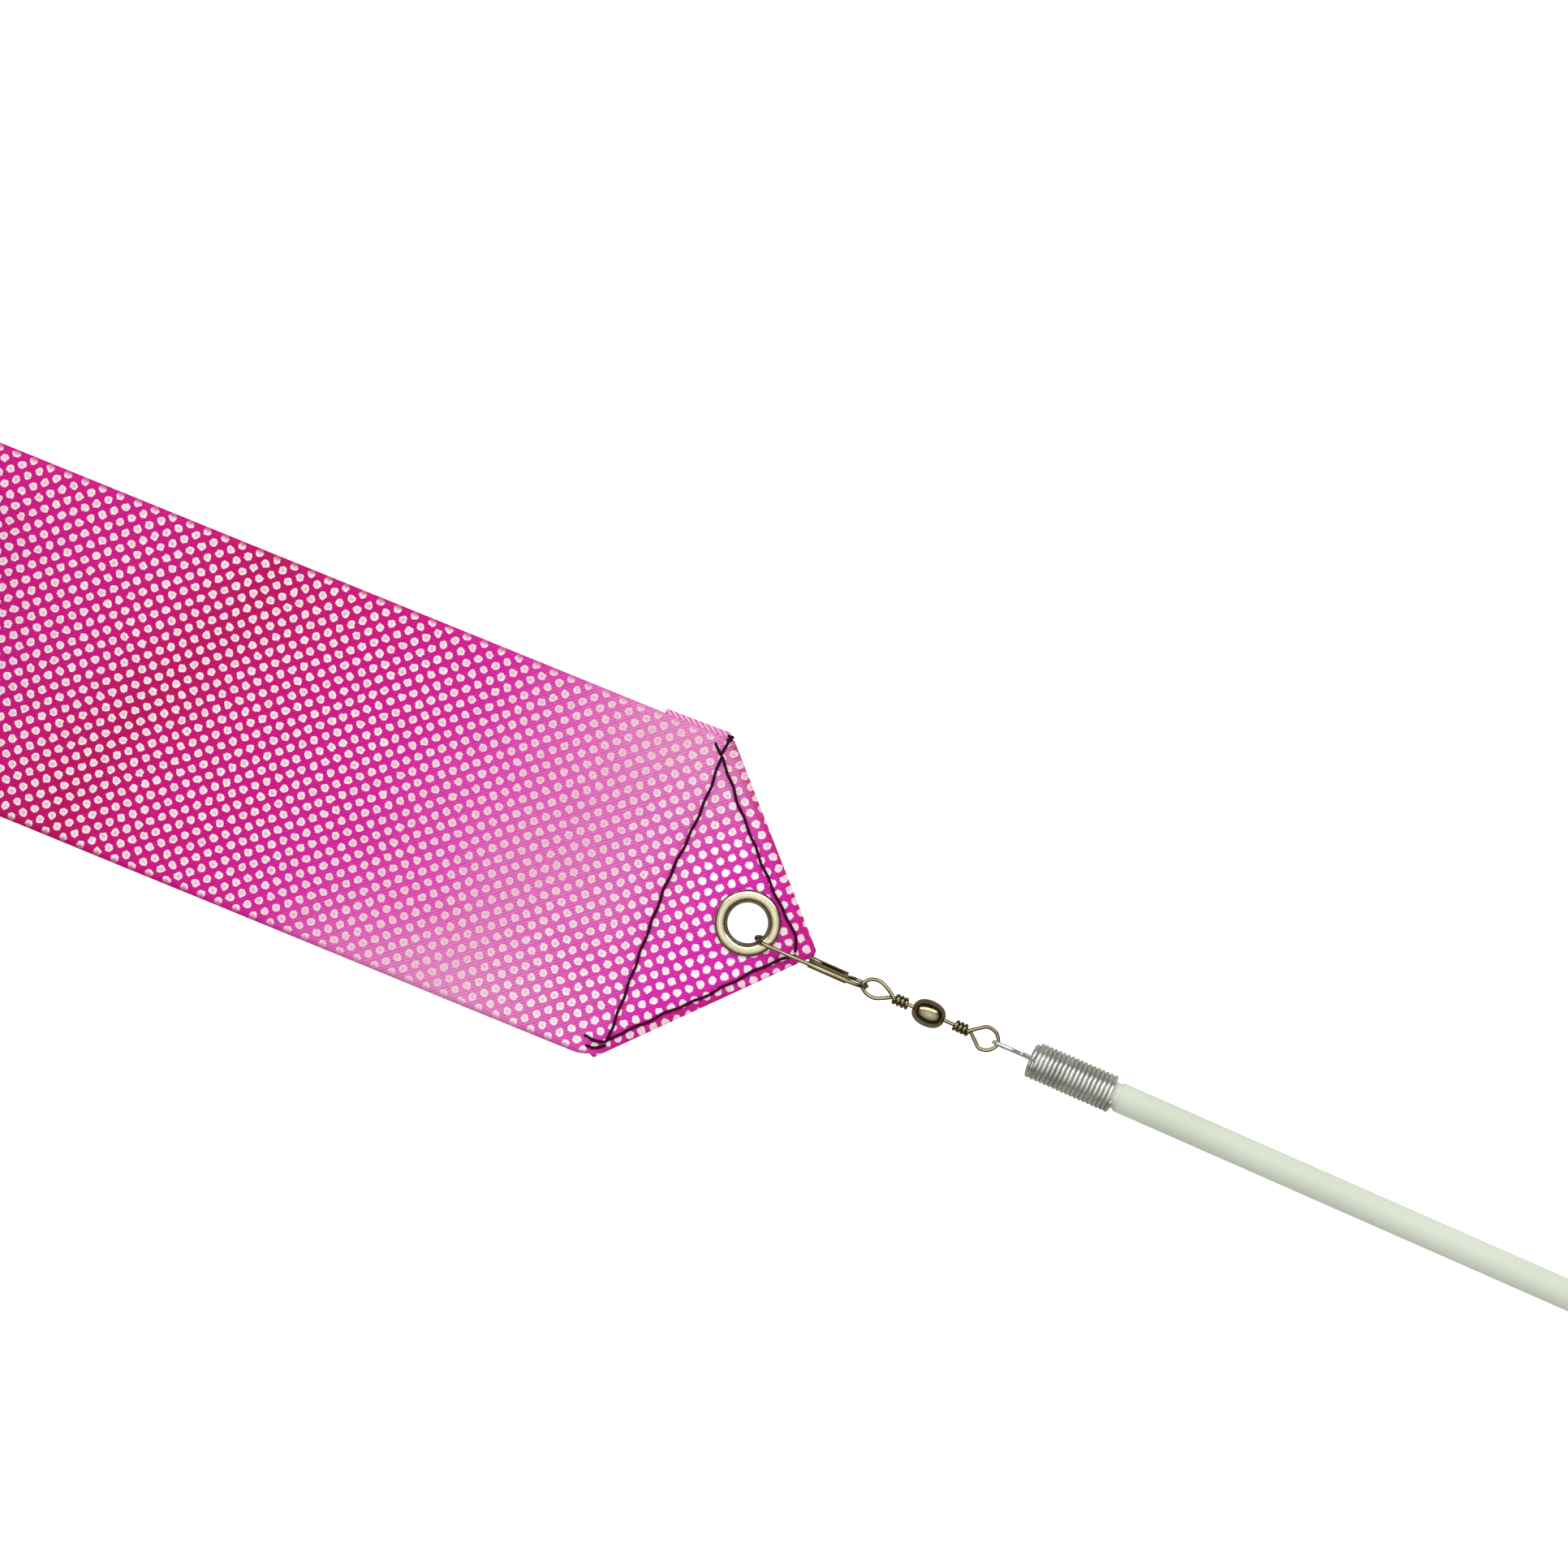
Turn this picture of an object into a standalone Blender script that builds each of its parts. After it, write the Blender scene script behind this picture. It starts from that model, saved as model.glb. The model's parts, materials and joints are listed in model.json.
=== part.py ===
"""Gymnastics ribbon with its wand, laid on a table: rod, grip, tip coil, barrel swivel, wire snap,
eyelet, and a satin ribbon whose far end is wound in a roll. Metres, +Z up, +X towards the grip.

Lengths below are in millimetres. Places along the chain count from the coil's free end, on the
wand's axis: the swivel, the snap and the ribbon lie at negative X.
"""

import math

import bmesh
import bpy
from mathutils import Matrix, Vector

MM = 0.001

# Fits
WIRE_GAP = 0.06      # radial play where one wire or sheet lies against another
SEAT_GAP = 0.1       # radial play of a sleeve or coil on the rod
END_GAP = 0.3        # space between faces that meet end to end
CLOTH_GAP = 0.1      # air between two layers of cloth

# Wand
WAND_LENGTH = 500.0  # tip eye to the butt of the grip
ROD_RADIUS = 2.185
GRIP_LENGTH = 150.0
GRIP_RADIUS = 6.0    # at the butt; the grip narrows forwards, so that all of it lies on the table
GRIP_RIB_COUNT = 12
GRIP_RIB_DEPTH = 0.5
GRIP_GROOVE = 2.6
COLLAR_LENGTH = 9.0
CAP_LENGTH = 5.0
CAP_SOCKET = 2.0
CAP_ROUNDING = 1.0
ROUND_STEPS = 24

# Coil and eye on the wand's tip, one wire
COIL_WIRE = 0.58
COIL_RADIUS = 2.75   # outside
COIL_LENGTH = 13.4
COIL_PITCH = 0.675
COIL_POINTS_A_TURN = 16
EYE_REACH = 5.98     # outer end of the eye, in front of the coil
EYE_HALF_HEIGHT = 1.1
EYE_BACK = 3.0         # from the coil to the hairpin's parallel part
EYE_FRONT = 4.4
COIL_LEAD = 0.15       # how far the first turn starts in front of the coil's place
TAIL_LENGTH = 7.0
COIL_CLOSING = 0.6   # of a turn, over which the wire comes in to the axis
ROD_NOSE = 0.95      # the rod's end, behind that part of the first turn

# Barrel swivel
SWIVEL_WIRE = 0.58
BARREL_LENGTH = 4.88
BARREL_RADIUS = 1.95
BARREL_WALL = 0.35
REAR_EYE_LENGTH = 3.74  # inside the ring
REAR_EYE_WIDTH = 2.74
REAR_SHANK = 1.5     # shows between the wraps and the barrel
FRONT_EYE_LENGTH = 4.04
FRONT_EYE_WIDTH = 2.24
FRONT_SHANK = 0.75
WRAP_LEAD = 0.35
WRAP_TURNS = 3.2
WRAP_PITCH = 0.7
WRAP_POINTS_A_TURN = 10
HEAD_RADIUS = 0.95
HEAD_FROM_MIDDLE = 1.2
HEAD_LENGTH = 0.3
RING_SHOULDER = 2.2    # widest place of a ring, from its tip
FRONT_FLATTENING = 0.8  # the front ring's lower side against its upper side

# Wire snap
SNAP_WIRE = 0.6
SNAP_ROLL = math.radians(11.0)
SNAP_LENGTH = 17.9   # over both bends
HOOK_RADIUS = 2.0    # bend's centre line, and half the distance between the arms
CLIP_SETBACK = 3.3   # rear bend's outer end to the clip
CLIP_LENGTH = 6.0
LATCH_IN_CLIP = 1.8
CLIP_SHEET = 0.25
LOOP_LOW = 1.25        # rear loop's wire below and above the snap's axis, beside the swivel's ring
LOOP_HIGH = 1.6

# Ribbon
RIBBON_WIDTH = 50.0
RIBBON_LENGTH = 4000.0
RIBBON_THICKNESS = 0.3
RIBBON_YAW = math.radians(1.62)
TIP_OFFSET = 1.1     # the point lies off the ribbon's centre line
TIP_ROUNDING = 0.6
FLAT_STRETCH = 169.0  # tip to the roll's axis
LIFT_START = 36.0    # behind the tip: the point is level up to here
LIFT_END = 96.0      # and the ribbon lies on the table from here
ROLL_BORE = 16.0
ROLL_PITCH = 0.42    # one loosely wound layer
FOLD_DEPTH = 25.0    # how far the folded corners reach behind the tip
FOLD_PEEK_BACK = 33.0
FOLD_PEEK_OUT = 0.65
FOLD_PEEK_FRONT = 23.2
FOLD_INNER = 19.0       # where the peeking corner's cut edge starts

# Eyelet and washer
EYELET_LAND = 7.7       # cloth between the point and the hole
EYELET_OFFSET = 1.5
EYELET_RIM = 1.95       # from the hole to the outer edge
EYELET_BORE = 2.9
EYELET_WALL = 0.3
EYELET_CROWN = 0.45
WASHER_RIM = 1.8
WASHER_THICKNESS = 0.25
CURL_DEPTH = 0.35       # of the eyelet's rolled edge, under the washer
CURL_REACH = 0.85

# Stitching
THREAD = 0.24
SEAM_INSET = 2.3
CROSS_SEAM_BEHIND_TIP = 22.9
THREAD_TAIL = 1.6

# Worked out from the sizes above
COIL_LINE_RADIUS = COIL_RADIUS - COIL_WIRE / 2
SEAT_RADIUS = COIL_RADIUS - COIL_WIRE - 2 * SEAT_GAP
HALF_WIDTH = RIBBON_WIDTH / 2
ROD_END = WAND_LENGTH - EYE_REACH
GRIP_START = ROD_END - GRIP_LENGTH
REAR_RING_LENGTH = REAR_EYE_LENGTH + 2 * SWIVEL_WIRE
REAR_RING_WIDTH = REAR_EYE_WIDTH + 2 * SWIVEL_WIRE
FRONT_RING_LENGTH = FRONT_EYE_LENGTH + 2 * SWIVEL_WIRE
FRONT_RING_WIDTH = FRONT_EYE_WIDTH + 2 * SWIVEL_WIRE
EYELET_BEHIND_TIP = EYELET_LAND + EYELET_BORE
EYELET_RADIUS = EYELET_BORE + EYELET_RIM
WASHER_RADIUS = EYELET_BORE + WASHER_RIM
FLAT_OF_ROUND = math.cos(math.pi / ROUND_STEPS)  # a side's distance from the axis, over a corner's
GRIP_RISE = (GRIP_RADIUS * FLAT_OF_ROUND - COIL_RADIUS) / ROD_END
TILT = math.asin(GRIP_RISE)
REAR_PIVOT = -EYE_REACH + COIL_WIRE / 2
REAR_RING_TIP = REAR_PIVOT + COIL_WIRE / 2 + WIRE_GAP + SWIVEL_WIRE / 2
WRAP_SPAN = WRAP_LEAD + WRAP_TURNS * WRAP_PITCH
BARREL_CENTRE = (REAR_RING_TIP - (REAR_RING_LENGTH - SWIVEL_WIRE) - WRAP_SPAN - REAR_SHANK
                 - BARREL_LENGTH / 2)
SNAP_PIVOT = (BARREL_CENTRE - BARREL_LENGTH / 2 - FRONT_SHANK - WRAP_SPAN
              - (FRONT_RING_LENGTH - SWIVEL_WIRE))
REAR_BEND = SNAP_PIVOT + SNAP_WIRE / 2 + SWIVEL_WIRE / 2 + WIRE_GAP
CLIP_START = REAR_BEND + SNAP_WIRE / 2 - CLIP_SETBACK - CLIP_LENGTH
HOOK_PIVOT = REAR_BEND + SNAP_WIRE - SNAP_LENGTH
BEND_CENTRE = HOOK_PIVOT + HOOK_RADIUS
HOOK_REACH = EYELET_BORE * FLAT_OF_ROUND - SNAP_WIRE / 2 - 2 * WIRE_GAP
TIP_AHEAD_OF_HOOK = EYELET_BEHIND_TIP - math.sqrt(HOOK_REACH ** 2 - EYELET_OFFSET ** 2)
ROLL_WOUND = RIBBON_LENGTH - FLAT_STRETCH
ROLL_RADIUS = math.sqrt((ROLL_BORE / 2) ** 2 + ROLL_PITCH * ROLL_WOUND / math.pi)
LAYER_TOP = CLOTH_GAP / 2 + RIBBON_THICKNESS
TABLE = -COIL_RADIUS


# ---------------------------------------------------------------- helpers

def clear_scene():
    for obj in list(bpy.data.objects):
        bpy.data.objects.remove(obj, do_unlink=True)


def make_collection(name):
    collection = bpy.data.collections.new(name)
    bpy.context.scene.collection.children.link(collection)
    return collection


def make_material(name, color, roughness, metallic):
    material = bpy.data.materials.new(name)
    material.use_nodes = True
    shader = material.node_tree.nodes["Principled BSDF"]
    shader.inputs["Base Color"].default_value = (*color, 1.0)
    shader.inputs["Roughness"].default_value = roughness
    shader.inputs["Metallic"].default_value = metallic
    material.diffuse_color = (*color, 1.0)
    return material


def add_object(name, data, collection, parent=None, location=(0, 0, 0), rotation=(0, 0, 0)):
    obj = bpy.data.objects.new(name, data)
    collection.objects.link(obj)
    obj.parent = parent
    obj.location = Vector(location) * MM
    obj.rotation_euler = rotation
    return obj


def finish(obj, look):
    obj.data.materials.append(make_material(obj.name, *look))
    if obj.type == "MESH":
        obj.data.shade_smooth()
        obj.data.set_sharp_from_angle(angle=math.radians(35))
    return obj


def turned(name, profile, collection, parent, location=(0, 0, 0), rotation=(0, 0, 0), steps=ROUND_STEPS,
           ring=False):
    """Turns a (radius, height) profile about local Z. A ring's profile closes on itself."""
    mesh = bpy.data.meshes.new(name)
    points = [(radius * MM, 0.0, height * MM) for radius, height in profile]
    edges = [(i, i + 1) for i in range(len(points) - 1)]
    if ring:
        edges.append((len(points) - 1, 0))
    mesh.from_pydata(points, edges, [])
    obj = add_object(name, mesh, collection, parent, location, rotation)
    screw = obj.modifiers.new("Turn", "SCREW")
    screw.steps = screw.render_steps = steps
    screw.use_merge_vertices = True
    screw.merge_threshold = 0.000001
    return obj


ALONG_X = (0.0, math.pi / 2, 0.0)
FLAT_DOWN = (Matrix.Rotation(math.pi / 2, 3, "Y") @ Matrix.Rotation(math.pi / ROUND_STEPS, 3, "Z")).to_euler()


def tube(name, points, radius, collection, parent, location=(0, 0, 0), rotation=(0, 0, 0), widths=None,
         bevel_resolution=2):
    """A capped wire along the points; widths scale its radius point by point."""
    curve = bpy.data.curves.new(name, "CURVE")
    curve.dimensions = "3D"
    curve.bevel_depth = radius * MM
    curve.bevel_resolution = bevel_resolution
    curve.use_fill_caps = True
    curve.twist_mode = "MINIMUM"
    spline = curve.splines.new("POLY")
    spline.points.add(len(points) - 1)
    for index, (point, place) in enumerate(zip(spline.points, points)):
        point.co = (*(Vector(place) * MM), 1.0)
        point.radius = widths[index] if widths else 1.0
    return add_object(name, curve, collection, parent, location, rotation)


def flat_shape(name, outlines, thickness, collection, parent, location=(0, 0, 0), rotation=(0, 0, 0)):
    """Fills closed XY outlines (an inner one is a hole) and gives them a thickness about Z = 0."""
    curve = bpy.data.curves.new(name, "CURVE")
    curve.dimensions = "2D"
    curve.fill_mode = "BOTH"
    curve.extrude = thickness * MM / 2
    for outline in outlines:
        spline = curve.splines.new("POLY")
        spline.points.add(len(outline) - 1)
        for point, (x, y) in zip(spline.points, outline):
            point.co = (x * MM, y * MM, 0.0, 1.0)
        spline.use_cyclic_u = True
    return add_object(name, curve, collection, parent, location, rotation)


def as_mesh(obj):
    """Swaps a curve object for a welded mesh object with the same name, parent and place."""
    bpy.context.view_layer.update()
    graph = bpy.context.evaluated_depsgraph_get()
    mesh = bpy.data.meshes.new_from_object(obj.evaluated_get(graph))
    work = bmesh.new()
    work.from_mesh(mesh)
    bmesh.ops.remove_doubles(work, verts=work.verts, dist=1e-7)
    bmesh.ops.recalc_face_normals(work, faces=work.faces)
    work.to_mesh(mesh)
    work.free()
    name, parent, local = obj.name, obj.parent, obj.matrix_local.copy()
    collection = obj.users_collection[0]
    bpy.data.objects.remove(obj, do_unlink=True)
    result = bpy.data.objects.new(name, mesh)
    collection.objects.link(result)
    result.parent = parent
    result.matrix_local = local
    return result


def boolean(obj, cutter, operation):
    cutter.hide_render = True
    cutter.display_type = "WIRE"
    modifier = obj.modifiers.new(cutter.name, "BOOLEAN")
    modifier.operation = operation
    modifier.solver = "EXACT"
    modifier.object = cutter


def smooth_path(points, pieces):
    """Catmull-Rom samples through the points, with the end points doubled."""
    ends = [points[0], *points, points[-1]]
    path = []
    for i in range(1, len(ends) - 2):
        a, b, c, d = (Vector(p) for p in ends[i - 1:i + 3])
        for step in range(pieces):
            t = step / pieces
            path.append(0.5 * (2 * b + (c - a) * t + (2 * a - 5 * b + 4 * c - d) * t * t
                               + (3 * b - a - 3 * c + d) * t ** 3))
    path.append(Vector(points[-1]))
    return path


def arc(centre, radius, start, end, count):
    """Points of an arc in a plane, from one angle to another, in radians."""
    angles = [start + (end - start) * i / count for i in range(count + 1)]
    return [(centre[0] + radius * math.cos(a), centre[1] + radius * math.sin(a)) for a in angles]


def circle(centre, radius, count):
    return arc(centre, radius, 0.0, 2 * math.pi * (1 - 1 / count), count - 1)


# ---------------------------------------------------------------- wand

BLACK_RUBBER = ((0.016, 0.016, 0.018), 0.75, 0.0)
BLACK_PLASTIC = ((0.02, 0.02, 0.022), 0.45, 0.0)
IVORY_ROD = ((0.66, 0.70, 0.56), 0.5, 0.0)
STEEL = ((0.56, 0.56, 0.55), 0.28, 1.0)
NICKEL = ((0.60, 0.56, 0.47), 0.22, 1.0)
SATIN = ((0.56, 0.02, 0.25), 0.38, 0.0)
SATIN_BACK = ((0.62, 0.13, 0.36), 0.6, 0.0)
DARK_THREAD = ((0.03, 0.006, 0.02), 0.6, 0.0)


def make_rod(parts, wand):
    bore = COIL_WIRE / 2 + SEAT_GAP
    start = ROD_NOSE
    end = ROD_END - CAP_LENGTH + CAP_SOCKET
    profile = [
        (0.0, end), (ROD_RADIUS, end), (ROD_RADIUS, COIL_LENGTH + END_GAP),
        (SEAT_RADIUS, COIL_LENGTH + END_GAP), (SEAT_RADIUS, start), (bore, start),
        (bore, TAIL_LENGTH + 1.0), (0.0, TAIL_LENGTH + 1.0),
    ]
    finish(turned("rod", profile, parts, wand, rotation=ALONG_X), IVORY_ROD)


def make_tip_wire(parts, wand):
    turns = (COIL_LENGTH - COIL_WIRE) / COIL_PITCH
    count = round(turns * COIL_POINTS_A_TURN)
    half = COIL_WIRE / 2
    apart = half + WIRE_GAP
    tail = [(TAIL_LENGTH, 0.0, 0.0), (0.5, 0.0, 0.0)]
    eye = [
        (-1.2, 0.0, -apart), (-EYE_BACK, 0.0, -EYE_HALF_HEIGHT), (-EYE_FRONT, 0.0, -EYE_HALF_HEIGHT),
        (REAR_PIVOT + 0.28, 0.0, -0.75), (REAR_PIVOT, 0.0, 0.0), (REAR_PIVOT + 0.28, 0.0, 0.75),
        (-EYE_FRONT, 0.0, EYE_HALF_HEIGHT), (-EYE_BACK, 0.0, EYE_HALF_HEIGHT), (-1.5, 0.0, apart + 0.1),
        (-0.75, 0.15, apart + 0.5),
    ]
    coil = []
    for i in range(count + 1):
        angle = math.pi / 2 - 2 * math.pi * i / COIL_POINTS_A_TURN
        x = half - COIL_LEAD + COIL_PITCH * (i / COIL_POINTS_A_TURN)
        grown = min(1.0, 0.62 + 0.38 * i / (COIL_CLOSING * COIL_POINTS_A_TURN))
        radius = COIL_LINE_RADIUS * grown
        coil.append((x, radius * math.cos(angle), radius * math.sin(angle)))
    path = [Vector(p) for p in tail[:1]] + smooth_path(tail[1:] + eye + coil[:1], 3)
    path += [Vector(p) for p in coil[1:]]
    finish(tube("tip_wire", path, half, parts, wand), STEEL)


def grip_radius(x):
    """The cone that meets the table along with the coil."""
    return (COIL_RADIUS + GRIP_RISE * x) / FLAT_OF_ROUND


def make_grip(parts, wand):
    inner = ROD_RADIUS + SEAT_GAP
    sleeve_start = GRIP_START + COLLAR_LENGTH + END_GAP
    sleeve_end = ROD_END - CAP_LENGTH - END_GAP
    pitch = (sleeve_end - sleeve_start) / (GRIP_RIB_COUNT + 0.5)
    profile = [(grip_radius(sleeve_end), sleeve_end)]
    for rib in range(GRIP_RIB_COUNT):
        groove_end = sleeve_end - pitch * (rib + 0.5)
        groove_start = groove_end - GRIP_GROOVE
        edge = GRIP_RIB_DEPTH * 0.8
        profile += [
            (grip_radius(groove_end), groove_end),
            (grip_radius(groove_end) - GRIP_RIB_DEPTH, groove_end - edge),
            (grip_radius(groove_start) - GRIP_RIB_DEPTH, groove_start + edge),
            (grip_radius(groove_start), groove_start),
        ]
    profile += [(grip_radius(sleeve_start), sleeve_start), (inner, sleeve_start), (inner, sleeve_end)]
    sleeve = turned("grip_sleeve", profile, parts, wand, rotation=FLAT_DOWN, ring=True)
    collar_front = ROD_RADIUS + 1.2
    collar_end = GRIP_START + COLLAR_LENGTH
    collar_land = collar_end - 2.5
    collar = turned("grip_collar", [
        (grip_radius(collar_end), collar_end), (grip_radius(collar_land), collar_land),
        (collar_front, GRIP_START + 0.6), (collar_front - 0.4, GRIP_START), (inner, GRIP_START),
        (inner, collar_end),
    ], parts, wand, rotation=FLAT_DOWN, ring=True)
    cap_start = ROD_END - CAP_LENGTH
    cap_edge = ROD_END - CAP_ROUNDING
    socket = cap_start + CAP_SOCKET + END_GAP
    cap = turned("grip_end_cap", [
        (0.0, ROD_END), (grip_radius(cap_edge) - CAP_ROUNDING, ROD_END), (grip_radius(cap_edge), cap_edge),
        (grip_radius(cap_start), cap_start), (inner, cap_start), (inner, socket), (0.0, socket),
    ], parts, wand, rotation=FLAT_DOWN)
    finish(sleeve, BLACK_RUBBER)
    finish(collar, BLACK_PLASTIC)
    finish(cap, BLACK_PLASTIC)


# ---------------------------------------------------------------- swivel

def swivel_eye_path(tip, ring_length, ring_width, side, flat_side):
    """Head in the barrel, shank, ring and wraps; side is +1 towards the wand and -1 away from it."""
    half = SWIVEL_WIRE / 2
    half_width = ring_width / 2 - half
    base = tip - side * (ring_length - SWIVEL_WIRE)
    head = BARREL_CENTRE + side * HEAD_FROM_MIDDLE
    wrap_radius = SWIVEL_WIRE + WIRE_GAP
    lower = half_width * flat_side
    ring = [
        (base, 0.0, 0.0), (base + side * 1.1, -lower * 0.55, 0.0),
        (tip - side * RING_SHOULDER, -lower, 0.0), (tip - side * 0.8, -lower * 0.78, 0.0), (tip, 0.0, 0.0),
        (tip - side * 0.8, half_width * 0.8, 0.0), (tip - side * RING_SHOULDER, half_width, 0.1),
        (base + side * 1.0, half_width * 0.62, 0.3),
    ]
    neck = head + side * HEAD_LENGTH
    shank = [(head, 0, 0), (neck, 0, 0), (neck + side * 0.15, 0, 0), (base - side * 0.4, 0, 0)]
    widths = [HEAD_RADIUS / half, HEAD_RADIUS / half, 1.0, 1.0]
    wraps = []
    count = round(WRAP_TURNS * WRAP_POINTS_A_TURN)
    for i in range(count + 1):
        turn = i / WRAP_POINTS_A_TURN
        angle = math.pi / 2 + 2 * math.pi * turn
        x = base - side * (WRAP_LEAD + WRAP_PITCH * turn)
        wraps.append((x, wrap_radius * math.cos(angle), wrap_radius * math.sin(angle)))
    loop = smooth_path([shank[-1], *ring, wraps[0]], 4)[1:]
    path = [Vector(p) for p in shank] + loop + [Vector(p) for p in wraps[1:]]
    return path, widths + [1.0] * (len(path) - len(widths))


def make_swivel(parts, rear, barrel, front):
    path, widths = swivel_eye_path(REAR_RING_TIP, REAR_RING_LENGTH, REAR_RING_WIDTH, 1, 1.0)
    origin = Vector((REAR_PIVOT, 0, 0))
    eye = tube("swivel_rear_eye", [p - origin for p in path], SWIVEL_WIRE / 2, parts, rear, widths=widths)
    finish(eye, NICKEL)
    path, widths = swivel_eye_path(SNAP_PIVOT, FRONT_RING_LENGTH, FRONT_RING_WIDTH, -1, FRONT_FLATTENING)
    origin = Vector((BARREL_CENTRE, 0, 0))
    eye = tube("swivel_front_eye", [p - origin for p in path], SWIVEL_WIRE / 2, parts, front, widths=widths)
    finish(eye, NICKEL)
    hole = SWIVEL_WIRE / 2 + SEAT_GAP
    half = BARREL_LENGTH / 2
    outer = []
    inner = []
    for i in range(13):
        angle = math.pi * (0.5 - i / 12)
        height = half * math.sin(angle)
        radius = BARREL_RADIUS * math.cos(angle) ** 0.7 if i not in (0, 12) else 0.0
        outer.append((max(hole + 0.25, radius), height))
    cavity = half - BARREL_WALL
    for i in range(9):
        angle = math.pi * (0.5 - i / 8)
        radius = (BARREL_RADIUS - BARREL_WALL) * math.cos(angle) ** 0.7 if i not in (0, 8) else 0.0
        inner.append((max(hole, radius), cavity * math.sin(angle)))
    profile = outer + [(hole, -half)] + inner[::-1] + [(hole, half)]
    finish(turned("swivel_barrel", profile, parts, barrel, rotation=ALONG_X, ring=True), NICKEL)


# ---------------------------------------------------------------- snap

def make_snap(parts, snap, latch):
    arm = HOOK_RADIUS
    inner_arm = arm - SNAP_WIRE - WIRE_GAP
    clip_end = CLIP_START + CLIP_LENGTH
    loop = [
        (CLIP_START + 0.6, inner_arm), (clip_end - 3.0, inner_arm), (clip_end - 1.2, inner_arm - 0.7),
        (clip_end + 0.6, -0.9), (SNAP_PIVOT - 0.6, -LOOP_LOW), (REAR_BEND - 0.35, -0.8), (REAR_BEND, 0.0),
        (REAR_BEND - 0.35, 0.9), (SNAP_PIVOT - 0.6, LOOP_HIGH), (clip_end, arm), (clip_end - 1.5, arm),
    ]
    path = smooth_path([(x, 0.0, z) for x, z in loop], 4)
    path += [Vector((x, 0.0, z)) for x, z in arc((BEND_CENTRE, 0.0), arm, math.pi / 2, math.pi * 1.5, 12)]
    origin = Vector((SNAP_PIVOT, 0, 0))
    finish(tube("snap_wire", [p - origin for p in path], SNAP_WIRE / 2, parts, snap), NICKEL)

    start = BEND_CENTRE + SNAP_WIRE / 2
    length = CLIP_START + LATCH_IN_CLIP - start
    straight = [Vector((length * i / 6, 0.0, 0.0)) for i in range(7)]
    finish(tube("snap_latch_arm", straight, SNAP_WIRE / 2, parts, latch), NICKEL)

    inside = SNAP_WIRE / 2 + WIRE_GAP
    outside = inside + CLIP_SHEET
    top = arm + inside
    bottom = -arm - inside
    fold = arc((0.0, arm), outside, 0.0, math.pi, 10)
    back = arc((0.0, arm), inside, math.pi, 0.0, 10)
    section = fold + [
        (-outside, bottom - CLIP_SHEET), (inside * 0.7, bottom - CLIP_SHEET), (inside * 0.7, bottom),
        (-inside, bottom),
    ] + back + [(inside, -arm + top * 0.5), (outside, -arm + top * 0.5)]
    middle = CLIP_START + CLIP_LENGTH / 2 - SNAP_PIVOT
    clip = flat_shape("snap_clip", [section], CLIP_LENGTH, parts, snap, location=(middle, 0, 0),
                      rotation=(math.pi / 2, 0.0, math.pi / 2))
    finish(as_mesh(clip), NICKEL)


# ---------------------------------------------------------------- ribbon

def rounded_tip():
    slope = math.radians(46.5)
    centre = (-TIP_ROUNDING * math.sqrt(2), TIP_OFFSET)
    return arc(centre, TIP_ROUNDING, -slope, slope, 6)


def hole_outline(radius):
    centre = (-EYELET_BEHIND_TIP, EYELET_OFFSET)
    return circle(centre, radius, ROUND_STEPS)


def make_cloth(parts, cutters, ribbon):
    """The top layer: its plan outline, cut from a slab that sags from the snap to the table."""
    upper = -(HALF_WIDTH - TIP_OFFSET) / 1.056
    lower = -(HALF_WIDTH + TIP_OFFSET) / 1.065
    gap_to_roll = RIBBON_THICKNESS + END_GAP
    end = -FLAT_STRETCH + math.sqrt(2 * ROLL_RADIUS * gap_to_roll)
    plan = rounded_tip() + [(upper, HALF_WIDTH), (end, HALF_WIDTH), (end, -HALF_WIDTH), (lower, -HALF_WIDTH)]
    hole = hole_outline(EYELET_BORE + EYELET_WALL + CLOTH_GAP)
    deep = 4 * COIL_RADIUS
    shape = flat_shape("plan_cutter", [plan, hole], deep, cutters, ribbon, location=(TIP_AHEAD_OF_HOOK, 0, 0))
    shape = as_mesh(shape)

    drop = TABLE + RIBBON_THICKNESS - LAYER_TOP
    tops = [(5.0, LAYER_TOP)]
    for i in range(13):
        t = i / 12
        ease = t * t * (3 - 2 * t)
        tops.append((-LIFT_START - (LIFT_END - LIFT_START) * t, LAYER_TOP + drop * ease))
    tops.append((-FLAT_STRETCH, TABLE + RIBBON_THICKNESS))
    section = tops + [(x, z - RIBBON_THICKNESS) for x, z in reversed(tops)]
    slab = flat_shape("ribbon_cloth", [section], RIBBON_WIDTH + 10.0, parts, ribbon,
                      location=(TIP_AHEAD_OF_HOOK, 0, 0), rotation=(math.pi / 2, 0, 0))
    slab = as_mesh(slab)
    boolean(slab, shape, "INTERSECT")
    finish(slab, SATIN)


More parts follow.
